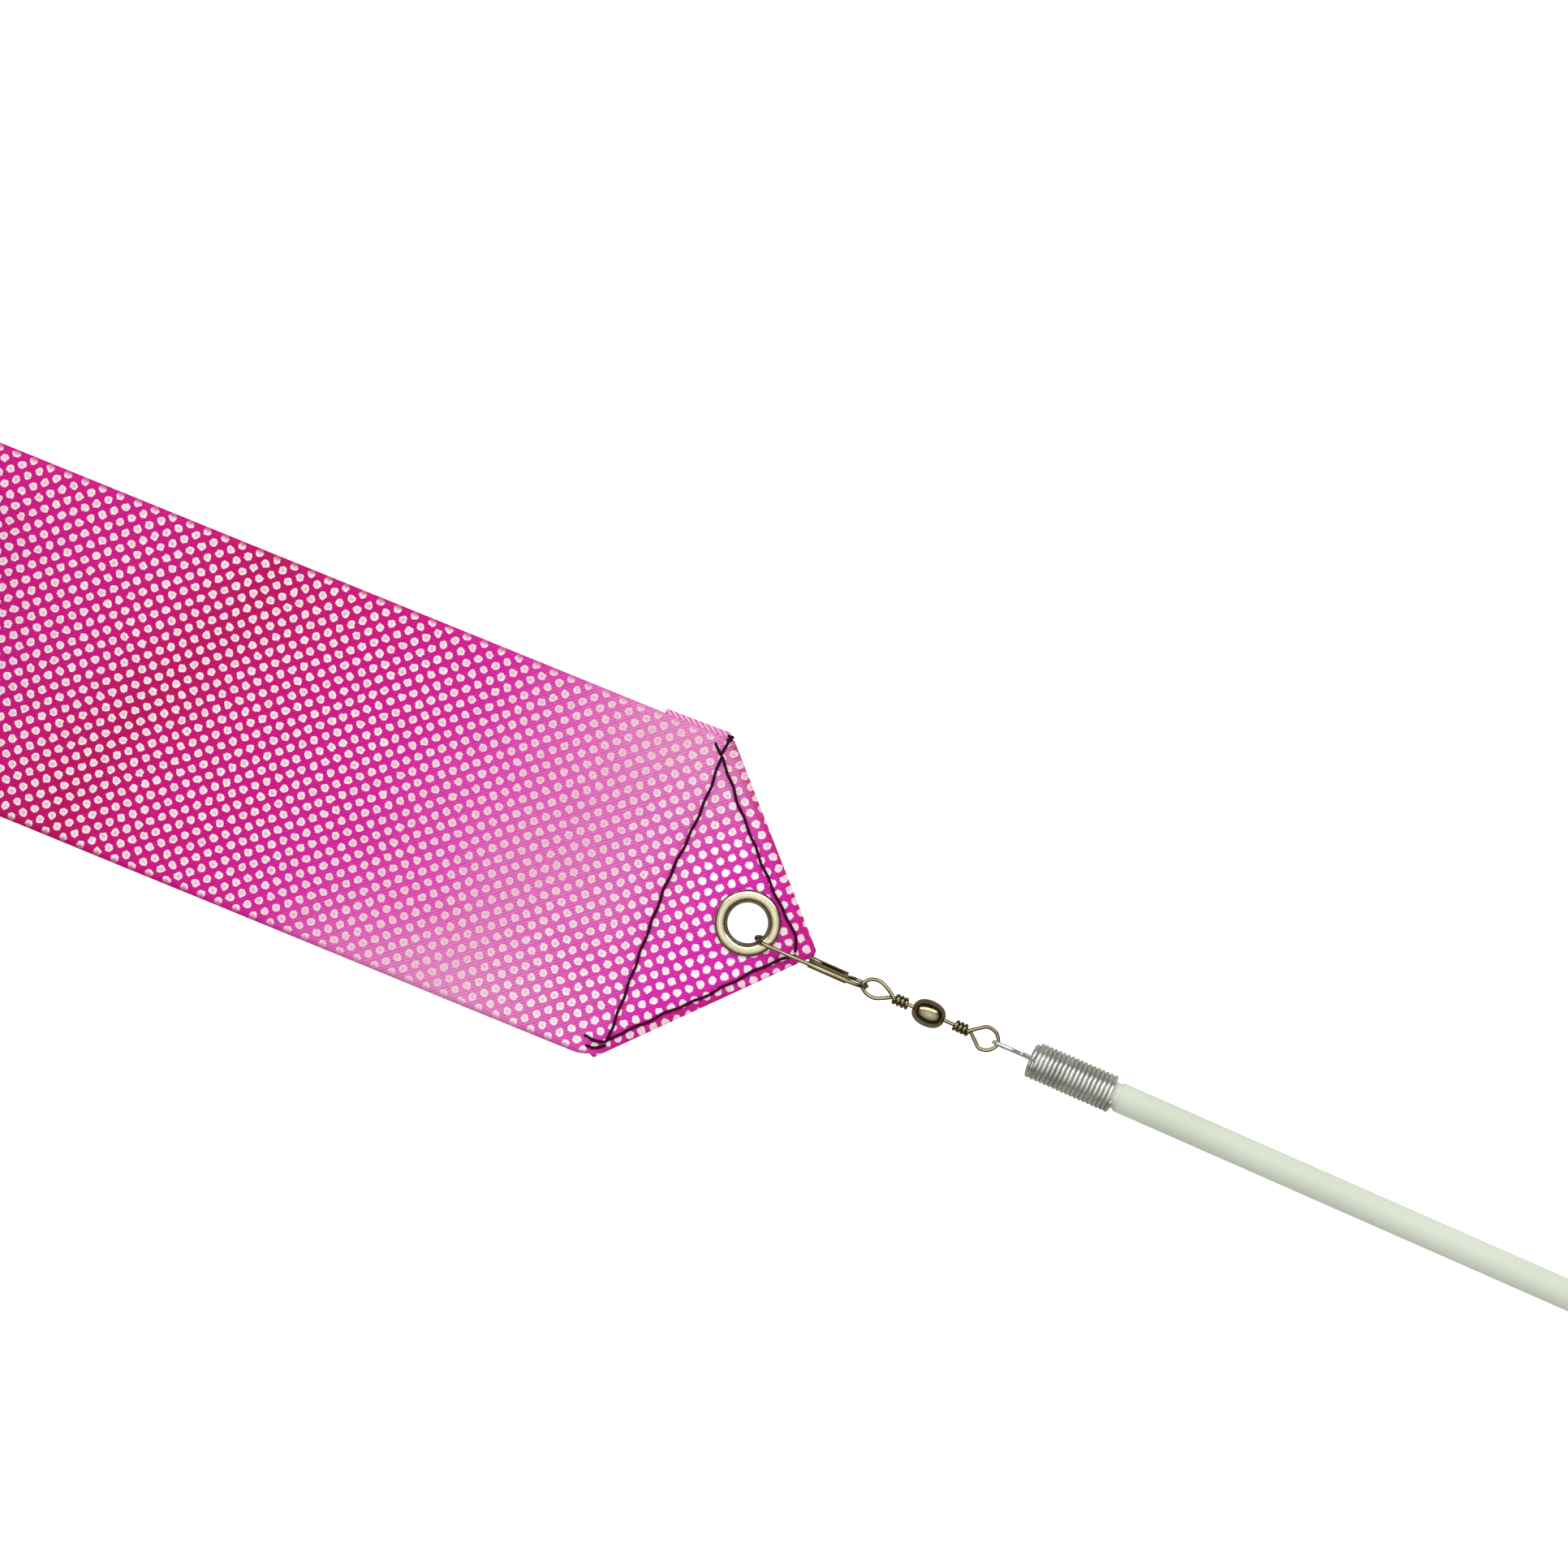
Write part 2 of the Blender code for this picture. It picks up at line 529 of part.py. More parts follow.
def make_folds(parts, ribbon):
    """The two corners, folded under the point so that their cut edges meet on its middle line."""
    z = -CLOTH_GAP / 2 - RIBBON_THICKNESS / 2
    eyelet = EYELET_BORE + EYELET_WALL + CLOTH_GAP
    for name, side in (("corner_fold_left", 1), ("corner_fold_right", -1)):
        seam = TIP_OFFSET + side * CLOTH_GAP
        rise = side * (EYELET_OFFSET - seam)
        reach = math.sqrt(eyelet ** 2 - rise ** 2)
        angle = math.atan2(-rise, reach)
        notch = arc((-EYELET_BEHIND_TIP, rise), eyelet, angle, math.pi - angle, 10)
        edge = HALF_WIDTH - 1.2 * side - 0.4
        corner = [(-FOLD_DEPTH - 0.4, edge), (-FOLD_DEPTH, edge - 4.0)]
        if side > 0:
            out = HALF_WIDTH - TIP_OFFSET + FOLD_PEEK_OUT
            corner = [(-FOLD_PEEK_FRONT, out), (-FOLD_PEEK_BACK, out), (-FOLD_DEPTH, FOLD_INNER)]
        outline = [(-0.9, 0.0), (-2.0, 1.0)] + corner + [(-FOLD_DEPTH, 0.0)]
        outline += [(x, y) for x, y in reversed(notch)]
        outline = [(x, seam + side * y) for x, y in outline]
        place = (TIP_AHEAD_OF_HOOK, 0, z)
        flap = flat_shape(name, [outline], RIBBON_THICKNESS, parts, ribbon, location=place)
        finish(as_mesh(flap), SATIN_BACK)


def make_roll(parts, ribbon):
    half = HALF_WIDTH
    bore = ROLL_BORE / 2
    profile = [(ROLL_RADIUS, half), (ROLL_RADIUS, -half), (bore, -half), (bore, half)]
    place = (TIP_AHEAD_OF_HOOK - FLAT_STRETCH, 0, TABLE + ROLL_RADIUS)
    spin = (Matrix.Rotation(math.pi / 2, 3, "X") @ Matrix.Rotation(math.pi / 48, 3, "Z")).to_euler()
    finish(turned("ribbon_roll", profile, parts, ribbon, place, spin, steps=48, ring=True), SATIN)


def make_eyelet(parts, ribbon):
    place = (TIP_AHEAD_OF_HOOK - EYELET_BEHIND_TIP, EYELET_OFFSET, 0)
    throat = EYELET_BORE
    top = LAYER_TOP + CLOTH_GAP
    washer_top = -LAYER_TOP - CLOTH_GAP
    washer_low = washer_top - WASHER_THICKNESS
    under = washer_low - CLOTH_GAP
    body = throat + EYELET_WALL
    profile = [
        (throat + 1.0, top + EYELET_CROWN + 0.05), (EYELET_RADIUS - 0.55, top + EYELET_CROWN - 0.05),
        (EYELET_RADIUS, top + 0.15), (EYELET_RADIUS - 0.1, top), (body, top), (body, under),
        (body + CURL_REACH, under), (body + CURL_REACH - 0.1, under - CURL_DEPTH + 0.05),
        (throat + 0.45, under - CURL_DEPTH), (throat, under + 0.2),
        (throat, top - 0.2), (throat + 0.35, top + EYELET_CROWN - 0.1),
    ]
    finish(turned("eyelet", profile, parts, ribbon, place, ring=True), NICKEL)
    hole = body + CLOTH_GAP
    ring = [(WASHER_RADIUS, washer_top), (WASHER_RADIUS, washer_low), (hole, washer_low), (hole, washer_top)]
    finish(turned("eyelet_washer", ring, parts, ribbon, place, ring=True), NICKEL)


def make_threads(parts, ribbon):
    """One thread on top and one underneath, each run round the point's three lines of stitches."""
    cross = -CROSS_SEAM_BEHIND_TIP
    inset = SEAM_INSET * math.sqrt(2)
    reach = CROSS_SEAM_BEHIND_TIP - SEAM_INSET
    place = (TIP_AHEAD_OF_HOOK, TIP_OFFSET, 0)
    level = LAYER_TOP + THREAD / 2 + WIRE_GAP
    spread = reach - 0.8
    for name, z in (("needle_thread", level), ("bobbin_thread", -level)):
        # the thread passes in front of the eyelet, where the two seams meet
        points = [
            (cross - THREAD_TAIL, spread + 1.0, z), (cross, spread, z), (cross, -spread, z),
            (-inset, -0.3, z), (-inset - 0.6, 0.6, z), (cross + 1.2, spread, z),
        ]
        finish(tube(name, points, THREAD / 2, parts, ribbon, place, bevel_resolution=1), DARK_THREAD)


# ---------------------------------------------------------------- assembly

def stand_on_table(root, parts):
    """Puts the origin at the middle of the box's base."""
    bpy.context.view_layer.update()
    graph = bpy.context.evaluated_depsgraph_get()
    corners = []
    for obj in parts.objects:
        if obj.type in ("MESH", "CURVE"):
            mesh = obj.evaluated_get(graph).to_mesh()
            corners += [obj.matrix_world @ vertex.co for vertex in mesh.vertices]
    low = Vector([min(p[i] for p in corners) for i in range(3)])
    high = Vector([max(p[i] for p in corners) for i in range(3)])
    root.location = (-(low.x + high.x) / 2, -(low.y + high.y) / 2, -low.z)


def main():
    clear_scene()
    parts = make_collection("gymnastics_ribbon")
    cutters = make_collection("cutters")
    cutters.hide_render = True
    root = add_object("origin", None, parts)
    wand = add_object("wand_axis", None, parts, root, rotation=(0.0, -TILT, 0.0))
    rear = add_object("rear_link_pivot", None, parts, root, (REAR_PIVOT, 0, 0))
    barrel = add_object("barrel_axis", None, parts, root, (BARREL_CENTRE, 0, 0))
    front = add_object("front_link_axis", None, parts, root, (BARREL_CENTRE, 0, 0))
    snap = add_object("snap_pivot", None, parts, root, (SNAP_PIVOT, 0, 0), (SNAP_ROLL, 0, 0))
    latch_x = BEND_CENTRE + SNAP_WIRE / 2 - SNAP_PIVOT
    latch = add_object("latch_pivot", None, parts, snap, (latch_x, 0, -HOOK_RADIUS))
    ribbon = add_object("ribbon_pivot", None, parts, root, (HOOK_PIVOT, 0, 0), (0, 0, RIBBON_YAW))
    make_rod(parts, wand)
    make_tip_wire(parts, wand)
    make_grip(parts, wand)
    make_swivel(parts, rear, barrel, front)
    make_snap(parts, snap, latch)
    make_cloth(parts, cutters, ribbon)
    make_folds(parts, ribbon)
    make_roll(parts, ribbon)
    make_eyelet(parts, ribbon)
    make_threads(parts, ribbon)
    stand_on_table(root, parts)


main()
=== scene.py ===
"""Gymnastics ribbon on its wand, laid on a table: a dotted satin ribbon sewn to a point, an eyelet,
a wire snap, a barrel swivel, the wand's coiled tip wire, rod and grip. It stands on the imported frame.
"""

import json
import math
from functools import partial

import bmesh
import bpy
from bpy.props import FloatProperty, FloatVectorProperty, IntProperty, PointerProperty
from mathutils import Matrix, Vector, noise


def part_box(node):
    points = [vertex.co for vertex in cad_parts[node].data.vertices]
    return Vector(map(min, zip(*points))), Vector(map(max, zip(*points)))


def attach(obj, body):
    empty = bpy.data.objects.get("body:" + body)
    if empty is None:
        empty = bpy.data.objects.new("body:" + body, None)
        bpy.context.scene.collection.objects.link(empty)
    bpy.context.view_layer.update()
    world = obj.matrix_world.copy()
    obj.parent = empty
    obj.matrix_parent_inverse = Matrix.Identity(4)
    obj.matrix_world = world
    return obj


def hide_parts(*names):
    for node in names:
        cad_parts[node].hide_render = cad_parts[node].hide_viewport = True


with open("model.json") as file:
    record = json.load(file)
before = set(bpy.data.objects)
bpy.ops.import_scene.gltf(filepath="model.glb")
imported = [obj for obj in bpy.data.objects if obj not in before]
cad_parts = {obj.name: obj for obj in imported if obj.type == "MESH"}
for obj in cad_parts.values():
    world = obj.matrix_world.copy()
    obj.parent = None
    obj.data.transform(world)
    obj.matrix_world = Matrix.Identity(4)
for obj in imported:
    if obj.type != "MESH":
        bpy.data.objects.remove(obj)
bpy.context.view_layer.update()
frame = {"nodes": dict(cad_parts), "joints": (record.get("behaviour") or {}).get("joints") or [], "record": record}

bl_info = {
    "name": "Gymnastics Ribbon",
    "version": (1, 0, 0),
    "blender": (4, 5, 0),
    "location": "3D View > Sidebar > Ribbon",
    "description": "Satin ribbon, swivel, snap and wand for rhythmic gymnastics",
    "category": "Add Mesh",
}

MM = 0.001

# ---------------------------------------------------------------- places taken from the frame

joint_at = {joint["name"]: Vector(joint["pos_m"]) for joint in frame["joints"]}
mount_at = {mount["name"]: mount for mount in frame["record"]["mounts"]}
TIP_EYE = joint_at["tip_eye_swing"]
BARREL = joint_at["barrel_spin"]
SNAP_PIVOT = joint_at["snap_swing"]
LATCH_PIVOT = joint_at["latch_squeeze"]
HOOK = joint_at["ribbon_swing"]
SNAP_AXIS = Vector(next(j["axis"] for j in frame["joints"] if j["name"] == "snap_swing"))
BUTT = Vector(mount_at["grip_butt"]["pos_m"])
WAND_AXIS = Vector(mount_at["grip_butt"]["axis"]).normalized()


def middle(node):
    low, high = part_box(node)
    return (Vector(low) + Vector(high)) / 2


def size_of(node):
    low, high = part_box(node)
    return Vector(high) - Vector(low)


# ---------------------------------------------------------------- colours and settings

def linear(code):
    """Turns an sRGB hex value into Blender's linear red, green and blue."""
    parts = [int(code[i:i + 2], 16) / 255 for i in (1, 3, 5)]
    return tuple(c / 12.92 if c <= 0.04045 else ((c + 0.055) / 1.055) ** 2.4 for c in parts)


def rgba(code):
    return (*linear(code), 1.0)


def length(name, description, millimetres):
    return FloatProperty(name=name, description=description, default=millimetres * MM, min=0.0,
                         unit="LENGTH", subtype="DISTANCE", precision=5)


def colour(name, description, code):
    return FloatVectorProperty(name=name, description=description, default=linear(code), size=3,
                               min=0.0, max=1.0, subtype="COLOR")


class RibbonSizes(bpy.types.PropertyGroup):
    """Sizes of the cloth and of what is sewn or pressed into it."""

    width: length("Width", "Selvedge to selvedge", 50.0)
    total: length("Length", "Whole length, with the wound part", 4000.0)
    thickness: length("Thickness", "Of one layer of satin", 0.25)
    fold_radius: length("Fold radius", "Of the cloth's middle where a corner turns under", 0.2)
    tip_offset: length("Tip offset", "From the middle line to the point", 1.1)
    roll_pitch: length("Layer pitch", "From one wound layer to the next", 0.42)
    lift_start: length("Level point", "Behind the tip, where the cloth starts down to the table", 36.0)
    lift_end: length("Down on table", "Behind the tip, where the cloth has come down", 96.0)
    yaw: FloatProperty(name="Yaw", description="Turn of the ribbon against the wand",
                       default=math.radians(1.62), subtype="ANGLE", unit="ROTATION")
    dot_along: length("Dot pitch along", "Between foil dots along the ribbon", 2.70)
    dot_across: length("Dot pitch across", "Between foil dots across the ribbon", 2.32)
    dot_size: length("Dot diameter", "Of one foil dot", 1.13)
    thread: length("Thread", "Sewing thread's diameter", 0.42)
    stitch: length("Stitch", "Length of one stitch", 2.3)


class HardwareSizes(bpy.types.PropertyGroup):
    """Sizes of the wire parts between the ribbon and the wand."""

    coil_wire: length("Coil wire", "Wire of the wand's tip", 0.62)
    coil_radius: length("Coil radius", "Outside the coil", 2.75)
    coil_length: length("Coil length", "Over all the turns", 13.4)
    coil_pitch: length("Coil pitch", "From turn to turn", 0.675)
    swivel_wire: length("Swivel wire", "Wire of the swivel's eyes", 0.58)
    snap_wire: length("Snap wire", "Wire of the snap", 0.6)
    hook_radius: length("Hook radius", "Half the distance between the snap's arms", 2.0)
    eyelet_bore: length("Eyelet bore", "Radius of the hole", 2.9)
    eyelet_radius: length("Eyelet radius", "Radius of the rim", 4.85)
    wraps: FloatProperty(name="Wraps", description="Turns that close each eye", default=3.2, min=1.0)


class WandSizes(bpy.types.PropertyGroup):
    """Sizes of the rod and its grip."""

    rod_radius: length("Rod radius", "Of the bare rod", 2.185)
    rib_depth: length("Rib depth", "Of the grip's grooves", 0.5)
    ribs: IntProperty(name="Ribs", description="Grooves round the grip", default=12, min=1)


class Colours(bpy.types.PropertyGroup):
    """Colours that a user would change."""

    satin: colour("Satin", "Ground of the ribbon where the sheen is plain", "#DC24AC")
    foil: colour("Foil", "Rim of a foil dot", "#FFF2F6")
    thread: colour("Thread", "Sewing thread", "#33021F")
    rod: colour("Rod", "Wand's rod", "#CBD3C0")
    nickel: colour("Nickel", "Plated wire", "#A59A7E")
    eyelet: colour("Eyelet", "Plated brass of the eyelet", "#CFC8B0")
    steel: colour("Steel", "Wand's tip wire", "#EBECE8")
    rubber: colour("Rubber", "Grip", "#1C1C1E")


# ---------------------------------------------------------------- mesh helpers

def linked(name, data):
    """A new object of that data, linked to the scene."""
    obj = bpy.data.objects.new(name, data)
    bpy.context.scene.collection.objects.link(obj)
    return obj


def meshed(bm, name, material):
    """A new object of a bmesh, which it uses up."""
    mesh = bpy.data.meshes.new(name)
    bm.to_mesh(mesh)
    bm.free()
    mesh.materials.append(material)
    return linked(name, mesh)


def new_piece(bm, name, finish, body, nodes=(), place=None, angle=40.0):
    """Moves a bmesh to its place and turns it into a finished piece that rides on a body of the frame."""
    if place:
        bmesh.ops.transform(bm, matrix=place, verts=bm.verts)
    obj = meshed(bm, name, finish_named(finish))
    obj.data.shade_smooth()
    obj.data.set_sharp_from_angle(angle=math.radians(angle))
    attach(obj, body)
    if nodes:
        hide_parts(*nodes)
    return obj


def frames_along(path):
    """A turning frame at each point of a path that twists as little as it can."""
    ahead = [(path[min(i + 1, len(path) - 1)] - path[max(i - 1, 0)]).normalized() for i in range(len(path))]
    side = ahead[0].orthogonal().normalized()
    result = []
    for i, way in enumerate(ahead):
        if i:
            side = ahead[i - 1].rotation_difference(way) @ side
            side = (side - way * side.dot(way)).normalized()
        up = way.cross(side)
        turn = Matrix((side, up, way)).transposed().to_4x4()
        result.append(Matrix.Translation(path[i]) @ turn)
    return result


def sweep(bm, path, radius, sides, widths=None):
    """Draws a round wire along the path: one ring, extruded from frame to frame, with rounded ends."""
    places = frames_along(path)
    scales = widths or [1.0] * len(path)
    # each end gets one more ring, a little smaller and a little further out
    end_scale, end_reach = 0.62, 0.45 * radius
    places = [places[0] @ Matrix.Translation((0, 0, -end_reach)), *places,
              places[-1] @ Matrix.Translation((0, 0, end_reach))]
    scales = [scales[0] * end_scale, *scales, scales[-1] * end_scale]
    ring = bmesh.ops.create_circle(bm, segments=sides, radius=radius, matrix=places[0])["verts"]
    bmesh.ops.scale(bm, vec=(scales[0],) * 3, space=places[0].inverted(), verts=ring)
    edges = list({edge for vert in ring for edge in vert.link_edges})
    faces = list(bmesh.ops.contextual_create(bm, geom=edges)["faces"])
    for step in range(1, len(places)):
        made = bmesh.ops.extrude_edge_only(bm, edges=edges)["geom"]
        ring = [item for item in made if isinstance(item, bmesh.types.BMVert)]
        edges = [item for item in made if isinstance(item, bmesh.types.BMEdge)]
        faces += [item for item in made if isinstance(item, bmesh.types.BMFace)]
        grow = scales[step] / scales[step - 1]
        move = places[step] @ Matrix.Diagonal((grow, grow, grow, 1.0)) @ places[step - 1].inverted()
        bmesh.ops.transform(bm, matrix=move, verts=ring)
    faces += bmesh.ops.contextual_create(bm, geom=edges)["faces"]
    bmesh.ops.recalc_face_normals(bm, faces=faces)


def turned(name, finish, body, node, outline, place, steps=96, closed=True, angle=40.0):
    """Spins a (radius, height) outline, in millimetres, round the local Z of a place into a piece."""
    bm = bmesh.new()
    verts = [bm.verts.new((radius * MM, 0.0, height * MM)) for radius, height in outline]
    pairs = list(zip(verts, verts[1:])) + ([(verts[-1], verts[0])] if closed else [])
    edges = [bm.edges.new(pair) for pair in pairs]
    bmesh.ops.spin(bm, geom=verts + edges, cent=(0, 0, 0), axis=(0, 0, 1), angle=2 * math.pi, steps=steps,
                   use_merge=True, use_normal_flip=False)
    bmesh.ops.remove_doubles(bm, verts=bm.verts, dist=1e-7)
    loose = [edge for edge in bm.edges if not edge.link_faces]
    bmesh.ops.delete(bm, geom=loose, context="EDGES")
    bmesh.ops.recalc_face_normals(bm, faces=bm.faces)
    new_piece(bm, name, finish, body, (node,), place, angle)


def arc(centre, radius, start, end, count):
    """Points of a flat arc between two angles, in degrees."""
    angles = [math.radians(start + (end - start) * i / count) for i in range(count + 1)]
    return [(centre[0] + radius * math.cos(a), centre[1] + radius * math.sin(a)) for a in angles]


def smooth_path(points, pieces):
    """Catmull-Rom samples through given points."""
    ends = [points[0], *points, points[-1]]
    path = []
    for i in range(1, len(ends) - 2):
        a, b, c, d = (Vector(p) for p in ends[i - 1:i + 3])
        for step in range(pieces):
            t = step / pieces
            path.append(0.5 * (2 * b + (c - a) * t + (2 * a - 5 * b + 4 * c - d) * t * t
                               + (3 * b - a - 3 * c + d) * t ** 3))
    path.append(Vector(points[-1]))
    return path


def ease(value):
    value = min(1.0, max(0.0, value))
    return value * value * (3 - 2 * value)


# ---------------------------------------------------------------- materials

def unhexed(value):
    return rgba(value) if isinstance(value, str) else value


def fill(node, inputs):
    """Sets a node's inputs: a socket is linked, a hex code becomes its colour, and the rest are values."""
    for key, value in inputs.items():
        if isinstance(value, bpy.types.NodeSocket):
            node.id_data.links.new(value, node.inputs[key])
        else:
            node.inputs[key].default_value = unhexed(value)


def add_node(tree, kind, inputs=(), operation=None, out=0, stops=(), **settings):
    """Adds a node with its settings, inputs and colour stops. Returns one of its outputs, or all for None.

    The inputs are a dictionary, or a tuple for the first sockets in order.
    """
    made = tree.nodes.new("ShaderNode" + kind)
    if operation:
        made.operation = operation
    for name, value in settings.items():
        setattr(made, name, value)
    fill(made, inputs if isinstance(inputs, dict) else dict(enumerate(inputs)))
    if stops:
        elements = made.color_ramp.elements
        while len(elements) > 1:
            elements.remove(elements[-1])
        elements[0].position, elements[0].color = stops[0][0], unhexed(stops[0][1])
        for position, value in stops[1:]:
            elements.new(position).color = unhexed(value)
    return made.outputs if out is None else made.outputs[out]


def new_material(name):
    """A material, the function that adds a node to its tree, and its shader."""
    material = bpy.data.materials.new(name)
    material.use_nodes = True
    tree = material.node_tree
    return material, partial(add_node, tree), tree.nodes["Principled BSDF"]


def satin(name, look, sizes, foil):
    """Polyester satin, woven in a fine twill line and printed with silver foil dots on its face.

    The satin's broad soft sheen is painted into its colour, shifting from crimson shade to pale pink highlight
    along the cloth, with painted shade at the folds and a painted glint on the point; the foil is brighter at
    each dot's rim, where it is thickest.
    """
    material, add, shader = new_material(name)
    cloth = add("UVMap", uv_map="cloth")
    in_mm = add("VectorMath", (cloth, (1000.0, 1000.0, 0.0)), "MULTIPLY")
    # painted sheen: one coordinate that leans across the cloth, folded back each repeat, places the bands of
    # painted sheen and shade
    repeat = 140.0
    lean = add("VectorMath", (in_mm, (1.0, 0.42, 0.0)), "DOT_PRODUCT", out="Value")
    drift = add("TexNoise", {"Vector": in_mm, "Scale": 0.05, "Detail": 2.0})
    drifted = add("Math", (drift, 14.0, lean), "MULTIPLY_ADD")
    folded = add("Math", (drifted, repeat), "PINGPONG")
    along = add("Math", (folded, repeat), "DIVIDE")
    # painted sheen: this ramp paints light and shade into the colour, crimson where shaded and pale pink where lit
    sheen = add("ValToRGB", (along,), stops=[
        (0.0, (*look.satin, 1.0)), (0.16, "#DC28AE"), (0.225, "#DC40B0"), (0.275, "#E064BC"),
        (0.325, "#E06EBD"), (0.425, "#DE4AB4"), (0.525, "#D5239C"), (0.62, "#D01088"), (0.725, "#C90A70"),
        (0.775, "#BE0860"), (0.82, "#C60A6C"), (0.92, "#D01488"),
    ])
    # twill: lines 0.36 mm apart in the cloth, drawn 0.45 mm apart so that they show
    slant = math.radians(39)
    line_at = add("VectorMath", (in_mm, (math.sin(slant), math.cos(slant), 0.0)), "DOT_PRODUCT", out="Value")
    phase = add("Math", (line_at, 2 * math.pi / 0.45), "MULTIPLY")
    twill = add("Math", (phase,), "SINE")
    slub = add("TexNoise", {"Vector": in_mm, "Scale": 1.6, "Detail": 3.0})
    weave = add("MapRange", (twill, -1.0, 1.0, 0.78, 1.06))
    patch = add("MapRange", (slub, 0.3, 0.7, 0.92, 1.06))
    tone = add("Math", (weave, patch), "MULTIPLY")
    # painted highlight: the pale band of the painted sheen is painted palest towards the selvedges, which curl up
    # a little
    band = add("ValToRGB", (along,), stops=[
        (0.14, (0, 0, 0, 1)), (0.25, (1, 1, 1, 1)), (0.36, (1, 1, 1, 1)), (0.50, (0, 0, 0, 1)),
    ])
    sideways = add("SeparateXYZ", (in_mm,), out="Y")
    outwards = add("Math", (sideways,), "ABSOLUTE")
    curl = add("MapRange", (outwards, 9.0, sizes.width / MM / 2, 0.05, 0.40),
               interpolation_type="SMOOTHSTEP")
    pale_highlight = add("Math", (band, curl), "MULTIPLY")
    # the pale painted highlight is mixed into the painted sheen here
    paled = add("Mix", {0: pale_highlight, 6: sheen, 7: "#EAA2C8"}, data_type="RGBA", out=2)
    lit = add("VectorMath", {0: paled, "Scale": tone}, "SCALE")
    # painted fold shade: cloth that turns round a fold or a seam leaves the sheen, so a crimson painted shade is
    # laid there
    crease = add("Attribute", attribute_name="crease", out="Fac")
    patchy = add("MapRange", (slub, 0.35, 0.6, 0.35, 1.0))
    fold_shade_share = add("Math", (crease, patchy), "MULTIPLY")
    ground = add("Mix", {0: fold_shade_share, 6: lit, 7: "#B5105F"}, data_type="RGBA", out=2)
    # dots: two square-on grids, one shifted by half a cell, and the nearer centre counts
    cell = (sizes.dot_along / MM, sizes.dot_across / MM, 1.0)
    grid = add("VectorMath", (in_mm, cell), "DIVIDE")
    reaches = []
    for shift in (0.0, 0.5):
        moved = add("VectorMath", (grid, (shift, shift, 0.0)), "ADD")
        part = add("VectorMath", (moved,), "FRACTION")
        centred = add("VectorMath", (part, (0.5, 0.5, 0.0)), "SUBTRACT")
        scaled = add("VectorMath", (centred, (cell[0], cell[1], 0.0)), "MULTIPLY")
        reaches.append(add("VectorMath", (scaled,), "LENGTH", out="Value"))
    nearest = add("Math", (reaches[0], reaches[1]), "MINIMUM")
    ragged = add("TexNoise", {"Vector": in_mm, "Scale": 1.5, "Detail": 2.0, "Roughness": 0.6})
    reach = add("Math", (ragged, 0.62, nearest), "MULTIPLY_ADD")
    radius = sizes.dot_size / MM / 2 + 0.31
    dot = add("MapRange", (reach, radius - 0.05, radius + 0.05, 1.0, 0.0), interpolation_type="SMOOTHSTEP")
    centre = add("MapRange", (reach, radius - 0.33, radius - 0.17, 1.0, 0.0),
                 interpolation_type="SMOOTHSTEP")
    # worn: where the foil is thin, its centre lets the satin through
    worn = add("TexNoise", {"Vector": in_mm, "Scale": 0.45, "Detail": 3.0})
    thin = add("MapRange", (worn, 0.36, 0.62, 0.55, 1.0))
    hollow = add("Math", (centre, thin), "MULTIPLY")
    # silver: the dots' own rim and core colours, with a painted reflection along the cloth, dull in the middle of
    # the pale painted sheen and bright beside it
    rim = add("ValToRGB", (along,), stops=[
        (0.0, (*look.foil, 1.0)), (0.20, "#FBF2F2"), (0.33, "#E6C3CD"), (0.44, "#ECCDD6"),
        (0.58, "#F8E7EA"), (1.0, "#F8E8EA"),
    ])
    core = add("ValToRGB", (along,), stops=[
        (0.0, "#EBC6D2"), (0.07, "#F8ECF0"), (0.13, "#F6E8EC"), (0.19, "#EBC9D0"), (0.33, "#DBABB8"),
        (0.58, "#DAB2BA"), (1.0, "#DDBABC"),
    ])
    foil_colour = add("Mix", {0: hollow, 6: rim, 7: core}, data_type="RGBA", out=2)
    # painted glint: one patch of painted highlight on the foil of the point, 16 mm behind the tip
    from_painted_glint = add("VectorMath", (in_mm, (16.0, 6.5, 0.0)), "DISTANCE", out="Value")
    painted_glint = add("MapRange", (from_painted_glint, 2.0, 7.0, 0.85, 0.0), interpolation_type="SMOOTHSTEP")
    foil_colour = add("Mix", {0: painted_glint, 6: foil_colour, 7: "#FFFDFD"}, data_type="RGBA", out=2)
    # the foil's share is cut along the painted fold shade, as more painted shade; the back keeps only a faint show
    # of the dots
    foil_share_shaded = add("Math", (fold_shade_share, -0.45, 1.0 if foil else 0.22), "MULTIPLY_ADD")
    # margin: the print stops short of the selvedges, so they keep a plain line
    selvedge = sizes.width / MM / 2
    inside = add("MapRange", (outwards, selvedge - 0.75, selvedge - 0.35, 1.0, 0.15))
    printed = add("Math", (dot, inside), "MULTIPLY")
    strength = add("Math", (printed, foil_share_shaded), "MULTIPLY")
    final = add("Mix", {0: strength, 6: ground, 7: foil_colour}, data_type="RGBA", out=2)
    gloss = add("MapRange", (strength, 0.0, 1.0, 0.55, 0.32))
    low = add("Math", (twill, 0.25, strength), "MULTIPLY_ADD")
    bump = add("Bump", {"Strength": 0.35, "Distance": 0.00005, "Height": low})
    fill(shader, {"Base Color": final, "Roughness": gloss, "Normal": bump, "Specular IOR Level": 0.10})
    return material


